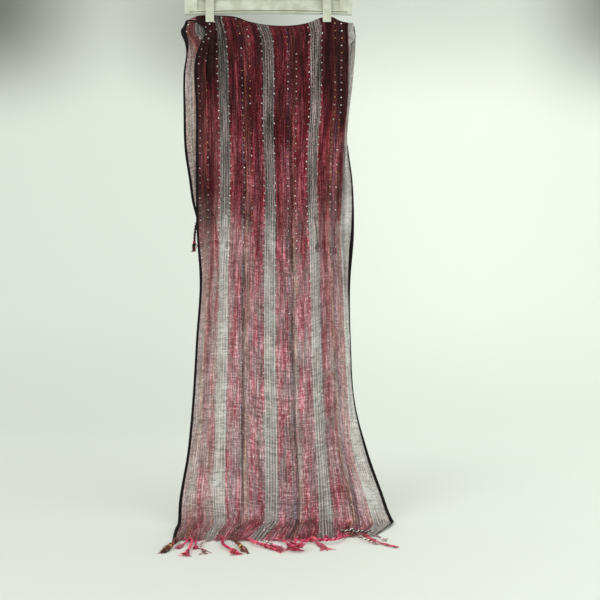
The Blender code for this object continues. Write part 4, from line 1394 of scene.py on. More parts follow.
# %% Yarn tubes
def tube(points, radii, sides):
    """Points and faces of a closed tube along a path, with a radius at each of its points."""
    points = np.asarray(points, float)
    heading = unit(np.gradient(points, axis=0))
    start = np.array([0.0, 0.0, 1.0]) if abs(heading[0, 2]) < 0.7 else np.array([0.0, 1.0, 0.0])
    turns = 2.0 * math.pi * np.arange(sides) / sides
    rings = []
    side = np.cross(heading[0], start)
    for point, ahead, radius in zip(points, heading, radii):
        side = unit(side - ahead * np.dot(side, ahead))
        up = np.cross(side, ahead)
        around = np.outer(np.cos(turns), side) + np.outer(np.sin(turns), up)
        rings.append(point + radius * around)
    return np.concatenate(rings), ring_faces(len(points), sides)


def join_dyed(name, parts, material):
    """Joins small parts into one smooth piece; each part is (points, faces, colour)."""
    points, faces, colours = [], [], []
    count = 0
    for own_points, own_faces, colour in parts:
        faces += [[vertex + count for vertex in face] for face in own_faces]
        points.append(own_points)
        colours.append(np.tile(np.array(colour), (len(own_points), 1)))
        count += len(own_points)
    mesh = bpy.data.meshes.new(name)
    mesh.from_pydata(np.concatenate(points).tolist(), [], faces)
    dye = mesh.attributes.new("dye", "FLOAT_COLOR", "POINT")
    dye.data.foreach_set("color", np.concatenate(colours).astype(np.float32).reshape(-1))
    mesh.materials.append(material)
    mesh.shade_smooth()
    return add_object(name, mesh)


def join_yarns(name, yarns, material):
    """Joins yarns into one piece; each yarn is (path, radii, sides, colour)."""
    return join_dyed(name, [(*tube(*yarn[:3]), yarn[3]) for yarn in yarns], material)

# %% Fringe yarn finish
YARN_SHADER = {"Roughness": 0.75, "Sheen Weight": 0.08, "Specular IOR Level": 0.15}


def yarn_finish():
    """Dyed fringe yarn: the piece's own dye colours, flecked along their length."""
    material, tree, shader = new_material("fringe_yarn", YARN_SHADER)
    place = object_place(tree)
    fibre = noise_at(place, 1500.0, 1.0)
    shade = contrast(noise_at(place, 160.0, 2.0), 30.0) * contrast(fibre, 12.0)
    dye = attribute_of(tree, "dye", "Color")
    feed(shader.inputs["Base Color"], scaled(dye, maths("MINIMUM", shade, 2.2)))
    add_bump(shader, fibre, 0.5, 0.0003)
    return material


FRINGE_YARN = yarn_finish()

# %% Paths of the yarn
def lengths_along(path):
    """Length along a path at each of its points."""
    steps = np.linalg.norm(np.diff(path, axis=0), axis=1)
    return np.concatenate([[0.0], np.cumsum(steps)])


def smooth_path(points, count):
    """A smooth path of count points through a few points."""
    points = np.asarray(points, float)
    steps = lengths_along(points)
    at = np.linspace(0.0, steps[-1], count)
    return np.stack([curve_through(at, steps, points[:, axis]) for axis in range(3)], axis=-1)


def twisted(path, radius, phase, pitch):
    """The path of one ply that winds round another path."""
    heading = unit(np.gradient(path, axis=0))
    up = np.where(np.abs(heading[:, 2:3]) < 0.7, [[0.0, 0.0, 1.0]], [[0.0, 1.0, 0.0]])
    side = unit(np.cross(heading, up))
    up = np.cross(side, heading)
    turn = (2.0 * math.pi * lengths_along(path) / pitch + phase)[:, None]
    return path + radius * (np.cos(turn) * side + np.sin(turn) * up)

# %% Gathered ends, plies and knot
END_RADIUS = 0.00045
TASSEL_STEPS = 34
KNOT_SWELL = (0.6, 1.25, 1.4, 1.2, 0.6)


def gathered_ends(roots, centre, radius, dyes, draw):
    """Warp ends that run together from the hem into the top of the tassel."""
    yarns = []
    for number, root in enumerate(roots):
        first = centre[0] + draw.normal(0.0, 0.15 * radius, 3)
        bend = 0.5 * (root + first) + draw.normal(0.0, 0.0012, 3)
        ends = smooth_path([root, bend, first, centre[2]], 6)
        yarns.append((ends, [END_RADIUS] * 6, 4, dyes[number % len(dyes)]))
    return yarns


def plies_and_knot(centre, radius, dyes):
    """Two plies that wind round each other, and the knot near their end."""
    yarns = []
    for number in range(2):
        ply = twisted(centre, 0.52 * radius, math.pi * number, 5.2 * radius)
        uneven = 0.92 + 0.16 * np.sin(np.arange(TASSEL_STEPS) * 1.7 + number)
        yarns.append((ply, 0.70 * radius * uneven, 7, dyes[number % len(dyes)]))
    yarns.append((centre[-6:-1], [swell * radius for swell in KNOT_SWELL], 8, dyes[-1]))
    return yarns

# %% Loose tuft
TUFT_STRANDS = 26
TUFT_RADII = np.linspace(0.00095, 0.00055, 7)
TUFT_WOBBLE = 0.0007


def loose_tuft(centre, tassel, dyes, draw, lying):
    """Loose strands past the knot, which belly out and then fan."""
    ahead = unit(centre[-1] - centre[-4])
    level = np.array([-ahead[1], ahead[0], 0.0]) if lying else np.array([1.0, 0.0, 0.0])
    lifted = np.cross(level, ahead)
    share = np.linspace(0.0, 1.0, 7)[:, None]
    belly = np.sin(math.pi * share**0.7)
    yarns = []
    for number in range(TUFT_STRANDS):
        fan, rise = draw.normal(0.0, tassel.spread), draw.normal(0.0, 0.5 * tassel.spread)
        wide, high = tassel.radius * draw.normal(0.0, 0.95), tassel.radius * draw.normal(0.0, 0.6)
        reach = tassel.tuft * draw.uniform(0.6, 1.0)
        aside = belly * wide + share**2 * fan * reach
        aside = aside + TUFT_WOBBLE * np.sin(7.0 * share + number)
        up = belly * high + share**2 * rise * reach
        strand = centre[-3] + share * reach * ahead + aside * level + up * lifted
        yarns.append((strand, TUFT_RADII, 4, dyes[number % len(dyes)]))
    return yarns

# %% One tassel
FLOOR_CLEARANCE = 0.0003


def above_floor(path, radii, sides, colour):
    """A yarn whose path is lifted where the yarn would sink into the floor."""
    path = np.array(path)
    lowest = FLOOR_Z + np.asarray(radii) + FLOOR_CLEARANCE
    path[:, 2] = np.maximum(path[:, 2], lowest)
    return path, radii, sides, colour


def tassel_yarns(tassel, roots, path, draw, lying):
    """One tassel from the hem to its tuft; one that lies on the floor is kept above it."""
    dyes = [YARNS[name] for name in tassel.colours]
    centre = smooth_path(path, TASSEL_STEPS)
    yarns = gathered_ends(roots, centre, tassel.radius, dyes, draw)
    yarns += plies_and_knot(centre, tassel.radius, dyes)
    yarns += loose_tuft(centre, tassel, dyes, draw, lying)
    return [above_floor(*yarn) for yarn in yarns] if lying else yarns

# %% Table of the tassels on the floor
FLOOR_TASSEL_COLUMNS = ("cut", "mid_aside", "mid_ahead", "tip_aside", "tip_ahead", "lift",
                        "radius", "tuft", "spread", "colours")
FLOOR_TASSELS = (
    (0.010, 0.003, 0.036, -0.007, 0.064, 0.005, 0.0042, 0.033, 0.14,
     ("dark_brown", "rust", "black", "gold")),
    (0.038, 0.002, 0.028, -0.006, 0.046, 0.004, 0.0020, 0.020, 0.40,
     ("blossom", "fuchsia", "rose")),
    (0.050, 0.003, 0.052, 0.001, 0.098, 0.003, 0.0027, 0.022, 0.30,
     ("blossom", "salmon", "crimson")),
    (0.060, 0.002, 0.030, 0.004, 0.052, 0.003, 0.0018, 0.016, 0.40, ("fuchsia", "magenta")),
    (0.084, -0.005, 0.052, 0.005, 0.088, 0.003, 0.0021, 0.016, 0.40, ("rose", "white", "crimson")),
    (0.131, 0.004, 0.050, 0.028, 0.092, 0.003, 0.0027, 0.026, 0.28,
     ("fuchsia", "crimson", "salmon")),
    (0.166, 0.005, 0.044, 0.018, 0.070, 0.005, 0.0034, 0.036, 0.07,
     ("dark_brown", "rust", "rose", "gold")),
    (0.206, 0.013, 0.040, 0.040, 0.060, 0.003, 0.0034, 0.044, 0.14,
     ("salmon", "blossom", "crimson")),
    (0.232, 0.010, 0.036, 0.028, 0.052, 0.004, 0.0019, 0.018, 0.45, ("rose", "white", "blossom")),
    (0.262, 0.006, 0.026, 0.016, 0.044, 0.003, 0.0021, 0.020, 0.45,
     ("salmon", "blossom", "magenta")),
    (0.286, 0.000, 0.036, -0.003, 0.066, 0.007, 0.0028, 0.022, 0.70,
     ("salmon", "fuchsia", "crimson")),
    (0.312, 0.006, 0.030, 0.012, 0.044, 0.004, 0.0034, 0.050, 0.20, ("salmon", "blossom", "rose")),
    (0.397, -0.036, 0.060, -0.074, 0.040, 0.006, 0.0029, 0.028, 0.28,
     ("crimson", "blossom", "salmon")),
    (0.429, 0.010, 0.046, 0.028, 0.060, 0.004, 0.0020, 0.008, 0.20, ("white", "rust", "rose")),
    (0.440, 0.004, 0.018, 0.014, 0.038, 0.003, 0.0026, 0.014, 0.20, ("crimson", "salmon", "rose")),
    (0.452, 0.010, 0.052, 0.026, 0.064, 0.003, 0.0018, 0.040, 0.13, ("salmon", "blossom", "rose")),
    (0.484, 0.006, 0.022, 0.015, 0.036, 0.002, 0.0016, 0.014, 0.35, ("silver", "rose", "white")),
)

# %% Tassels on the floor
GATHER_REACH = 0.011
GATHERED_ENDS = 9
HEM_LAP = 0.0015
FIRST_END, LAST_FRONT_END, LAST_BACK_END = 0.004, 0.496, 0.440
REST_SHARE, REST_GAP = 1.15, 0.0004
TOP_ASIDE, TOP_AHEAD, TOP_LIFT = 0.12, 0.009, 0.0006


def tassel_roots(point_at, cut, length, last_end):
    """Where a tassel's warp ends leave the cloth, just inside its hem, and the hem's own place."""
    spots = cut + np.linspace(-GATHER_REACH, GATHER_REACH, GATHERED_ENDS)
    spots = np.clip(spots, FIRST_END, last_end)
    hem = point_at(np.array([cut]), np.array([length]))[0]
    return point_at(spots, length - HEM_LAP + 0.0 * spots), hem


def floor_tassels(draw):
    """The tassels of the long end, lying on the floor past its hem."""
    yarns = []
    for row in FLOOR_TASSELS:
        tassel = SimpleNamespace(**dict(zip(FLOOR_TASSEL_COLUMNS, row)))
        roots, hem = tassel_roots(front_point, tassel.cut, FRONT_LENGTH, LAST_FRONT_END)
        rest = FLOOR_Z + REST_SHARE * tassel.radius + REST_GAP
        start = [hem[0] + TOP_ASIDE * tassel.mid_aside, hem[1] - TOP_AHEAD, rest + TOP_LIFT]
        middle = [hem[0] + tassel.mid_aside, hem[1] - tassel.mid_ahead, rest + tassel.lift]
        tip = [hem[0] + tassel.tip_aside, hem[1] - tassel.tip_ahead, rest]
        yarns += tassel_yarns(tassel, roots, [start, middle, tip], draw, lying=True)
    return yarns

# %% [markdown]
# Between the tassels the hem shows loose yarn ends and a few small tangles, and near the right
# corner a pale metallised yarn has worked loose over a crumple. All are short thin tubes. A yarn
# end takes the colour of the stripe that it comes out of. A tangle's row says where it lies, how
# far ahead of the hem and how high, how far its loops reach, and how many they are.

# %% Loose ends at the hem
LOOSE_ENDS = 300
END_RADII = np.linspace(0.0005, 0.0003, 5)
END_SAG = 0.0008
END_CLEARANCE = 0.0007


def stripe_yarn(cut, column):
    """The yarn colour of the stripe at a place across the cut."""
    for stripe in STRIPES:
        if cut * 1000.0 < stripe[0]:
            return YARNS[stripe[STRIPE_COLUMNS.index(column)]]
    return YARNS["ash"]


def loose_ends(draw):
    """Short yarn ends that stand out past the hem; every third one lies near the hem's middle."""
    yarns = []
    share = np.linspace(0.0, 1.0, 5)[:, None]
    for number in range(LOOSE_ENDS):
        cut = draw.uniform(0.006, 0.494) if number % 3 else draw.normal(0.290, 0.035)
        reach, aside = draw.uniform(0.004, 0.017), draw.normal(0.0, 0.55)
        own = stripe_yarn(cut, "run" if number % 2 else "ground")
        root = front_point(np.array([cut]), np.array([FRONT_LENGTH - 0.002]))[0]
        strand = root + share * reach * np.array([aside, -1.0, 0.0])
        strand = strand + draw.normal(0.0, 0.0006, (5, 3)) * share
        sagged = strand[:, 2] - END_SAG * share[:, 0]
        strand[:, 2] = np.maximum(sagged, FLOOR_Z + END_CLEARANCE)
        yarns.append((strand, END_RADII, 3, own if number % 3 else YARNS["fuchsia"]))
    return yarns

# %% Tangles and a yarn that has worked loose
TANGLES = (
    (0.288, 0.084, 0.0080, 0.0165, 40),
    (0.300, 0.036, 0.0035, 0.0080, 12),
    (0.262, 0.016, 0.0030, 0.0070, 10),
    (0.336, 0.010, 0.0030, 0.0065, 12),
    (0.372, 0.012, 0.0030, 0.0060, 9),
    (0.128, 0.004, 0.0040, 0.0060, 8),
    (0.046, 0.008, 0.0040, 0.0065, 10),
)
TANGLE_YARNS = ("salmon", "fuchsia", "blossom", "crimson")
TANGLE_RADIUS = 0.0007
TANGLE_CLEARANCE = 0.0009
LOOSE_YARN = (
    (0.376, 1.202), (0.384, 1.208), (0.391, 1.215), (0.398, 1.204), (0.404, 1.196), (0.411, 1.208),
    (0.418, 1.216), (0.425, 1.204), (0.432, 1.198), (0.440, 1.208), (0.450, 1.212), (0.462, 1.206),
)
LOOSE_LIFT = 0.0030
LOOSE_PLY = {"radius": 0.0009, "apart": 0.0011, "pitch": 0.013}


def tangle(place, reach, loops, draw):
    """A small tangle: thin loops that leave one place every way."""
    yarns = []
    share = np.linspace(0.0, 1.0, 9)[:, None]
    for number in range(loops):
        turn, rise = draw.uniform(0.0, 2.0 * math.pi), draw.uniform(-0.2, 0.9)
        out = np.array([math.cos(turn), math.sin(turn), rise])
        aside = np.array([-math.sin(turn), math.cos(turn), 0.0])
        loop = place + reach * draw.uniform(0.6, 1.0) * np.sin(math.pi * share) * out
        loop = loop + 0.22 * reach * np.sin(2.0 * math.pi * share) * aside
        loop[:, 2] = np.maximum(loop[:, 2], FLOOR_Z + TANGLE_CLEARANCE)
        colour = YARNS[TANGLE_YARNS[number % len(TANGLE_YARNS)]]
        yarns.append((loop, [TANGLE_RADIUS] * 9, 4, colour))
    return yarns


def tangles(draw):
    """The tangles between the tassels."""
    yarns = []
    for cut, ahead, lift, reach, loops in TANGLES:
        hem = front_point(np.array([cut]), np.array([FRONT_LENGTH]))[0]
        yarns += tangle(hem + [0.0, -ahead, lift], reach, loops, draw)
    return yarns


def loose_yarn():
    """The pale metallised yarn over the crumple: two plies, one pale and one dark."""
    strand = front_point(*np.array(LOOSE_YARN).T)
    strand[:, 2] += LOOSE_LIFT
    path = smooth_path(strand, 60)
    yarns = []
    for number, name in enumerate(("white", "black")):
        ply = twisted(path, LOOSE_PLY["apart"], math.pi * number, LOOSE_PLY["pitch"])
        yarns.append((ply, [LOOSE_PLY["radius"]] * 60, 5, YARNS[name]))
    return yarns

# %% Fringe piece on the floor
def floor_fringe():
    """Everything at the long end's hem, joined to one piece."""
    draw = np.random.default_rng(41)
    yarns = floor_tassels(draw) + loose_ends(draw) + tangles(draw) + loose_yarn()
    return join_yarns("fringe_floor", yarns, FRINGE_YARN)


fringe_floor = floor_fringe()
stand_for(fringe_floor, "fringe_front_hem")

# %% Tassels that hang behind
HANGING_TASSEL_COLUMNS = ("cut", "sway", "back", "length", "radius", "colours")
HANGING_TASSELS = (
    (0.001, -0.005, 0.002, 0.080, 0.0026, ("black", "dark_brown", "crimson")),
    (0.060, 0.004, 0.005, 0.080, 0.0018, ("crimson", "brown", "rose")),
    (0.104, -0.003, 0.003, 0.084, 0.0018, ("maroon", "silver", "crimson")),
    (0.146, 0.003, 0.006, 0.078, 0.0018, ("dark_brown", "gold", "brown")),
    (0.188, -0.005, 0.002, 0.086, 0.0018, ("crimson", "maroon", "rose")),
    (0.230, 0.004, 0.004, 0.080, 0.0018, ("silver", "maroon", "crimson")),
    (0.272, 0.002, 0.006, 0.084, 0.0018, ("dark_brown", "gold", "maroon")),
    (0.312, -0.004, 0.003, 0.078, 0.0018, ("crimson", "magenta", "rose")),
    (0.352, 0.005, 0.005, 0.085, 0.0018, ("silver", "crimson", "maroon")),
    (0.392, -0.002, 0.002, 0.080, 0.0018, ("maroon", "coral", "brown")),
    (0.430, 0.003, 0.004, 0.083, 0.0018, ("crimson", "tan", "rose")),
)
HANGING_TUFT, HANGING_SPREAD = 0.022, 0.12
TOP_IN_HEM = 0.012


def hanging_fringe():
    """The tassels of the short end, hanging behind the front."""
    draw = np.random.default_rng(43)
    yarns = []
    for row in HANGING_TASSELS:
        tassel = SimpleNamespace(tuft=HANGING_TUFT, spread=HANGING_SPREAD,
                                 **dict(zip(HANGING_TASSEL_COLUMNS, row)))
        roots, hem = tassel_roots(back_point, tassel.cut, BACK_LENGTH, LAST_BACK_END)
        down = tassel.length - HANGING_TUFT
        path = [hem + [0.0, 0.0, -TOP_IN_HEM],
                hem + [0.6 * tassel.sway, tassel.back, -0.5 * down],
                hem + [tassel.sway, 0.5 * tassel.back, -down]]
        yarns += tassel_yarns(tassel, roots, path, draw, lying=False)
    return join_yarns("fringe_behind", yarns, FRINGE_YARN)


fringe_behind = hanging_fringe()
stand_for(fringe_behind, "fringe_back_hem")

# %% [markdown]
# ## Glinting flecks
#
# Along some warp threads, mostly where a stripe begins or ends, small metallic flecks are woven
# in at an even spacing. They are what glitters on the dark upper part. One low bead is modelled
# and copied to every place, each with its own small turn, and the copies are joined to one mesh.
# The flecks thin out and shrink a little over the lower half, and none lie on the turned margin.

# %% Fleck finish
FLECK_SHADER = {"Metallic": 0.35, "Roughness": 0.28}


def fleck_finish():
    """Pale metallised flecks with painted glints that brighten some, and a soft gloss."""
    material, tree, shader = new_material("metallic_fleck", FLECK_SHADER)
    glint = noise_at(object_place(tree), 420.0, 1.0)
    # Painted glints: noise brightens or dims each bead's colour.
    shine = stretch(glint, 0.40, 0.62, 0.30, 1.35)
    feed(shader.inputs["Base Color"], scaled(attribute_of(tree, "dye", "Color"), shine))
    return material


METALLIC_FLECK = fleck_finish()

# %% One bead
FLECK_SIZE = (0.0020, 0.0013, 0.0007)


def low_bead():
    """Points and faces of one low bead, from a small sphere."""
    bpy.ops.object.select_all(action="DESELECT")
    bpy.ops.mesh.primitive_uv_sphere_add(segments=6, ring_count=4, radius=1.0,
                                         location=(0.0, 0.0, 0.0))
    bead = bpy.context.object
    points = np.array([vertex.co for vertex in bead.data.vertices]) * FLECK_SIZE
    faces = [list(face.vertices) for face in bead.data.polygons]
    bpy.data.objects.remove(bead)
    return points, faces


def fleck_axes(point_at, cut, drop, tilt):
    """A place on the cloth, and a turned bead's own axes there: wide, tall and out of the cloth."""
    step = 0.001
    around = point_at(cut + np.array([0.0, step, 0.0]), drop + np.array([0.0, 0.0, step]))
    right = unit(around[1] - around[0])
    down = around[2] - around[0]
    down = unit(down - right * np.dot(down, right))
    wide = math.cos(tilt) * right + math.sin(tilt) * down
    tall = -math.sin(tilt) * right + math.cos(tilt) * down
    return around[0], np.stack([wide, tall, np.cross(down, right)])

# %% Flecks on both falls
FLECK_CUTS = (0.012, 0.037, 0.073, 0.105, 0.143, 0.165, 0.198, 0.229, 0.266, 0.288, 0.321, 0.358,
              0.403, 0.424)
GOLD_CUTS = (0.037, 0.143, 0.165, 0.266, 0.403, 0.424)
FLECK_STEP = 0.0164
FLECK_PROUD = 0.0005
FLECK_SHRINK = 0.24
TILT_TURNS_AT = 0.3


def fleck_places(length, keep_within, draw):
    """Where the flecks lie, with how each is turned, how far down it counts, and its tone."""
    for cut in FLECK_CUTS:
        first = 0.006 + draw.uniform(0.0, FLECK_STEP)
        for drop in np.arange(first, length - 0.004, FLECK_STEP):
            own_cut = cut + draw.normal(0.0, 0.0006)
            tilt = draw.normal(0.5 if cut < TILT_TURNS_AT else -0.5, 0.35)
            low = float(ease(drop, 0.45, 0.62))
            kept = draw.uniform() < 0.88 - 0.30 * low and own_cut < keep_within(drop)
            # Painted glint: each fleck gets its own brightness, some beyond its yarn's colour.
            tone = 1.4 * draw.uniform(0.45, 1.15)
            if kept:
                gold = cut in GOLD_CUTS and draw.uniform() < 0.4
                yield own_cut, drop, tilt, low, tone, YARNS["gold" if gold else "white"]


def add_flecks(name, point_at, length, keep_within, seed):
    """Joined copies of the bead at even steps down each fleck thread of one fall."""
    bead, faces = low_bead()
    places = fleck_places(length, keep_within, np.random.default_rng(seed))
    parts = []
    for cut, drop, tilt, low, tone, yarn in places:
        place, axes = fleck_axes(point_at, cut, drop, tilt)
        turned = (1.0 - FLECK_SHRINK * low) * bead @ axes
        colour = [*(tone * value for value in yarn[:3]), 1.0]
        parts.append((place + FLECK_PROUD * axes[2] + turned, faces, colour))
    piece = join_dyed(name, parts, METALLIC_FLECK)
    face_outwards(piece.data)
    stand_for(piece)
    print(len(parts), "flecks")
    return piece


flecks_front = add_flecks("flecks_front", front_point, FRONT_LENGTH, margin_edge, 5)
flecks_back = add_flecks("flecks_back", back_point, BACK_LENGTH, lambda drop: 1.0, 6)

# %% [markdown]
# ## Hanger
#
# The scarf is held by a moulded trouser hanger: a slightly bowed bar of I section, a hook in one
# piece with it and two clips that sit astride the bar. All are one off-white plastic. The bar
# starts as a block whose front and back are inset between two solid ends. A groove is cut along
# its foot, where the mould leaves a lip, and both are bowed before the cut.

# %% Plastic finish
PLASTIC_TONES = (linear(184, 186, 166), linear(200, 203, 186))
RUB_SCALE = (14.0, 300.0, 300.0)


def plastic_finish():
    """Off-white plastic, a little uneven in tone and rubbed along the bar."""
    material, tree, shader = new_material("ivory_plastic", {})
    place = object_place(tree)
    cloud = noise_at(place, 38.0, 3.0)
    along = add_node(tree, "ShaderNodeMapping", {"Vector": place, "Scale": RUB_SCALE})
    rub = noise_at(Value(along.outputs[0]), 1.0, 2.0)
    colour = blend(stretch(cloud, 0.38, 0.62), *PLASTIC_TONES)
    feed(shader.inputs["Base Color"], scaled(colour, stretch(rub, 0.35, 0.65, 0.95, 1.03)))
    feed(shader.inputs["Roughness"], stretch(cloud, 0.35, 0.65, 0.34, 0.48))
    add_bump(shader, rub, 0.25, 0.0004)
    return material


IVORY_PLASTIC = plastic_finish()

# %% Blocks
def take_up(piece):
    """Makes a piece the only selected one, and the active one."""
    bpy.ops.object.select_all(action="DESELECT")
    piece.select_set(True)
    bpy.context.view_layer.objects.active = piece


def add_block(name, low, high):
    """A block between two corners, at the origin with its size in its points."""
    bpy.ops.object.select_all(action="DESELECT")
    low, high = np.array(low), np.array(high)
    bpy.ops.mesh.primitive_cube_add(size=1.0, location=tuple(0.5 * (low + high)))
    block = bpy.context.object
    block.name = name
    block.scale = tuple(high - low)
    bpy.ops.object.transform_apply(location=True, rotation=True, scale=True)
    return block


def bisect(place, normal):
    """Cuts the edited mesh along a plane, keeping both sides."""
    bpy.ops.mesh.select_all(action="SELECT")
    bpy.ops.mesh.bisect(plane_co=place, plane_no=normal)


def select_faces(block, wanted):
    """Selects the faces of the edited mesh whose centre and normal are wanted."""
    bpy.ops.mesh.select_mode(type="FACE")
    bpy.ops.mesh.select_all(action="DESELECT")
    shape = bmesh.from_edit_mesh(block.data)
    for face in shape.faces:
        face.select = bool(wanted(face.calc_center_median(), face.normal))
    bmesh.update_edit_mesh(block.data)


def sink(rim, wall, depth):
    """Insets the selected faces, leaving a rim, and sinks them behind a steep wall."""
    bpy.ops.mesh.inset(thickness=rim, depth=0.0)
    bpy.ops.mesh.inset(thickness=wall, depth=-depth)

# %% Cuts and rounded edges
EDGE_ROUND = 0.0004
FLAT_SHADE = math.radians(35.0)


def cut_out(block, cutter):
    """Applies a Boolean that takes the cutter out of the block, then removes the cutter."""
    bpy.context.view_layer.objects.active = block
    modifier = block.modifiers.new("cut", "BOOLEAN")
    modifier.operation = "DIFFERENCE"
    modifier.solver = "EXACT"
    modifier.object = cutter
    bpy.ops.object.modifier_apply(modifier=modifier.name)
    bpy.data.objects.remove(cutter)


def round_edges(block):
    """Applies a small bevel to the sharp edges and smooths the shading between them."""
    take_up(block)
    modifier = block.modifiers.new("round", "BEVEL")
    modifier.width = EDGE_ROUND
    modifier.segments = 2
    modifier.limit_method = "ANGLE"
    bpy.ops.object.modifier_apply(modifier=modifier.name)
    bpy.ops.object.shade_smooth_by_angle(angle=FLAT_SHADE)


def finish_plastic(piece, node):
    """Gives a hanger piece its plastic and puts it in the place of its CAD node."""
    piece.data.materials.clear()
    piece.data.materials.append(IVORY_PLASTIC)
    stand_for(piece, node)

# %% Straight bar
BAR_HALF = 0.184
BAR_HEIGHT = 0.038
BAR_BOTTOM = -0.1185
BAR_DEPTH = 0.0140
BAR_LIP = 0.0076
BAR_RECESS = 0.0050
BAR_WALL = 0.0004
END_BLOCK = 0.020
BAR_SLICES = 13


def slice_across():
    """Cuts the edited block into slices along the bar, so that it can bow."""
    inner = BAR_HALF - END_BLOCK
    for x in np.linspace(-inner, inner, BAR_SLICES):
        bisect((x, 0.0, 0.0), (1.0, 0.0, 0.0))


def straight_bar():
    """The bar before it is bowed: a block, inset front and back between its solid ends."""
    bar = add_block("hanger_bar_moulded", (-BAR_HALF, -0.5 * BAR_DEPTH, BAR_BOTTOM),
                    (BAR_HALF, 0.5 * BAR_DEPTH, BAR_BOTTOM + BAR_HEIGHT))
    inner = BAR_HALF - END_BLOCK
    bpy.ops.object.mode_set(mode="EDIT")
    slice_across()
    for facing in (-1.0, 1.0):
        select_faces(bar, lambda centre, normal: abs(centre.x) < inner and normal.y * facing > 0.9)
        sink(BAR_LIP, BAR_WALL, BAR_RECESS)
    bpy.ops.object.mode_set(mode="OBJECT")
    return bar

# %% Groove, bow and finished bar
GROOVE_HALF = 0.1727
GROOVE_LOW, GROOVE_HIGH = 0.0024, 0.0050
GROOVE_DEPTH = 0.0050
BAR_BOW = 0.0035


def straight_groove():
    """What the groove takes out of the bar's front, before it is bowed with the bar."""
    groove = add_block("groove", (-GROOVE_HALF, -BAR_DEPTH, BAR_BOTTOM + GROOVE_LOW),
                       (GROOVE_HALF, -0.5 * BAR_DEPTH + GROOVE_DEPTH, BAR_BOTTOM + GROOVE_HIGH))
    bpy.ops.object.mode_set(mode="EDIT")
    slice_across()
    bpy.ops.object.mode_set(mode="OBJECT")
    return groove


def bar_base(x):
    """Height of the bar's lower edge, which is lower at its ends."""
    return BAR_BOTTOM - BAR_BOW * (x / BAR_HALF) ** 2


def add_bar():
    """The bar, bowed, grooved and with its edges rounded."""
    bar, groove = straight_bar(), straight_groove()
    for piece in (bar, groove):
        for vertex in piece.data.vertices:
            vertex.co.z += bar_base(vertex.co.x) - BAR_BOTTOM
    cut_out(bar, groove)
    round_edges(bar)
    finish_plastic(bar, "hanger_bar")


add_bar()

# %% [markdown]
# The hook is a round rod moulded with the bar, bent in the bar's own plane and flared at its
# foot. A curve carries its centre line and its radius at each place, and is turned into a mesh.

# %% Route of the hook
HOOK_INNER_RADIUS = 0.020
HOOK_WIRE_RADIUS = 0.0035
HOOK_FOOT_RADIUS = 0.0068
HOOK_TURNS = (203.0, -60.0)
HOOK_FLARE = ((0.010, HOOK_WIRE_RADIUS), (0.006, 0.0044), (0.003, 0.0058), (0.0, HOOK_FOOT_RADIUS))
TIP_OVERRUN = (0.0006, -0.0016)
STEM_TOP = (0.0, -0.064)
NECK_PULL = 0.030
PIECE_GAP = 0.0003


def hook_ring():
    """The round of the hook, from its tip over the top, as (x, z)."""
    ring = HOOK_INNER_RADIUS + HOOK_WIRE_RADIUS
    turns = np.radians(np.linspace(*HOOK_TURNS, 40))
    return [(ring * math.cos(turn), ring * math.sin(turn) - HOOK_INNER_RADIUS) for turn in turns]


def hook_neck(start):
    """The neck, which leaves the round along it and comes down upright to the stem's top."""
    start, stem = np.array(start), np.array(STEM_TOP)
    end = math.radians(HOOK_TURNS[1])
    leave = NECK_PULL * np.array([math.sin(end), -math.cos(end)])
    arrive = np.array([0.0, -NECK_PULL])
    places = []
    for share in np.linspace(0.0, 1.0, 12)[1:]:
        rest = 1.0 - share
        place = rest**2 * (1.0 + 2.0 * share) * start + share * rest**2 * leave
        place = place + share**2 * (3.0 - 2.0 * share) * stem - share**2 * rest * arrive
        places.append(tuple(place))
    return places


def hook_route():
    """Centre line of the whole hook with its radius: tip, round, neck and flared foot."""
    ring = hook_ring()
    tip = (ring[0][0] + TIP_OVERRUN[0], ring[0][1] + TIP_OVERRUN[1], 0.6 * HOOK_WIRE_RADIUS)
    rod = [(x, z, HOOK_WIRE_RADIUS) for x, z in ring + hook_neck(ring[-1])]
    foot = BAR_BOTTOM + BAR_HEIGHT + PIECE_GAP
    return [tip, *rod, *((0.0, foot + lift, radius) for lift, radius in HOOK_FLARE)]

# %% Hook
def add_hook():
    """The hook, swept along its route with 16 sides and closed ends."""
    route = hook_route()
    data = bpy.data.curves.new("hook_line", "CURVE")
    data.dimensions = "3D"
    data.bevel_depth = 1.0
    data.bevel_resolution = 6
    data.use_fill_caps = True
    line = data.splines.new("POLY")
    line.points.add(len(route) - 1)
    for point, (x, z, radius) in zip(line.points, route):
        point.co = (x, 0.0, z, 1.0)
        point.radius = radius
    take_up(add_object("hanger_hook_moulded", data))
    bpy.ops.object.convert(target="MESH")
    hook = bpy.context.object
    bpy.ops.object.shade_smooth_by_angle(angle=math.radians(50.0))
    finish_plastic(hook, "hanger_hook")


add_hook()

# %% [markdown]
# Each clip is a saddle: it sits over the bar and its two legs close on the folded cloth below it.
# It starts as a block that narrows below the bar; the room for the bar and the gap between the
# jaws are cut out, and its front is inset so that a rim stands round it.

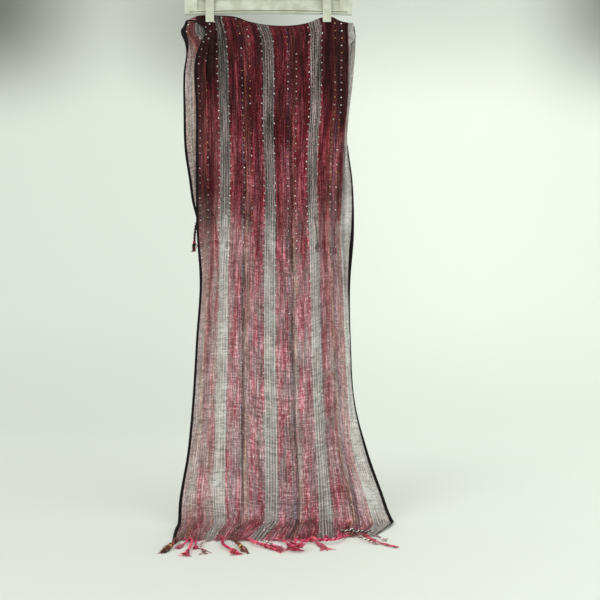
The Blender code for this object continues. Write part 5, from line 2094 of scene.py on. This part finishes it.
# %% Clips
CLIP_WIDTH = 0.0184
CLIP_WALL = 0.0030
CLIP_FOOT = 0.0185
CLIP_RIM = 0.0014
CLIP_RIM_WALL = 0.0003
CLIP_RECESS = 0.0007
CLIP_SHOULDER = 0.0020
CLIP_CROWN = BAR_HEIGHT + 0.0023
CLIP_TOP = BAR_HEIGHT + CLIP_WALL + 0.0013
CLIP_TOP_TAPER = 0.0020
INSIDE = 0.5 * BAR_DEPTH + PIECE_GAP
OUTSIDE = INSIDE + CLIP_WALL
JAW = GRIP_RADIUS + HALF_WALL + PIECE_GAP


def clip_block(name, middle, base):
    """The clip before it is hollowed: a block that narrows below the bar and a little above it."""
    half, crown = 0.5 * CLIP_WIDTH, base + CLIP_CROWN
    clip = add_block(name, (middle - half, -OUTSIDE, base - CLIP_FOOT),
                     (middle + half, OUTSIDE, base + CLIP_TOP))
    bpy.ops.object.mode_set(mode="EDIT")
    bisect((middle, 0.0, base - CLIP_SHOULDER), (0.0, 0.0, 1.0))
    bisect((middle, 0.0, crown), (0.0, 0.0, 1.0))
    for facing, half_depth in ((-1.0, JAW + CLIP_WALL), (1.0, OUTSIDE - CLIP_TOP_TAPER)):
        select_faces(clip, lambda centre, normal: normal.z * facing > 0.9)
        bpy.ops.transform.resize(value=(1.0, half_depth / OUTSIDE, 1.0),
                                 center_override=(middle, 0.0, 0.0))
    select_faces(clip, lambda centre, normal: centre.y < -0.003 and centre.z < crown
                 and abs(normal.x) < 0.5 and normal.y < -0.5)
    sink(CLIP_RIM, CLIP_RIM_WALL, CLIP_RECESS)
    bpy.ops.object.mode_set(mode="OBJECT")
    return clip


def add_clip(name, middle, node):
    """One clip astride the bar."""
    base = bar_base(middle)
    left, right = middle - CLIP_WIDTH, middle + CLIP_WIDTH
    clip = clip_block(name, middle, base)
    cut_out(clip, add_block("room", (left, -INSIDE, base - PIECE_GAP),
                            (right, INSIDE, base + BAR_HEIGHT + PIECE_GAP)))
    cut_out(clip, add_block("gap", (left, -JAW, base - 2.0 * CLIP_FOOT), (right, JAW, base)))
    round_edges(clip)
    finish_plastic(clip, node)


add_clip("clip_left_moulded", -CLIP_X, "clip_left")
add_clip("clip_right_moulded", CLIP_X, "clip_right")
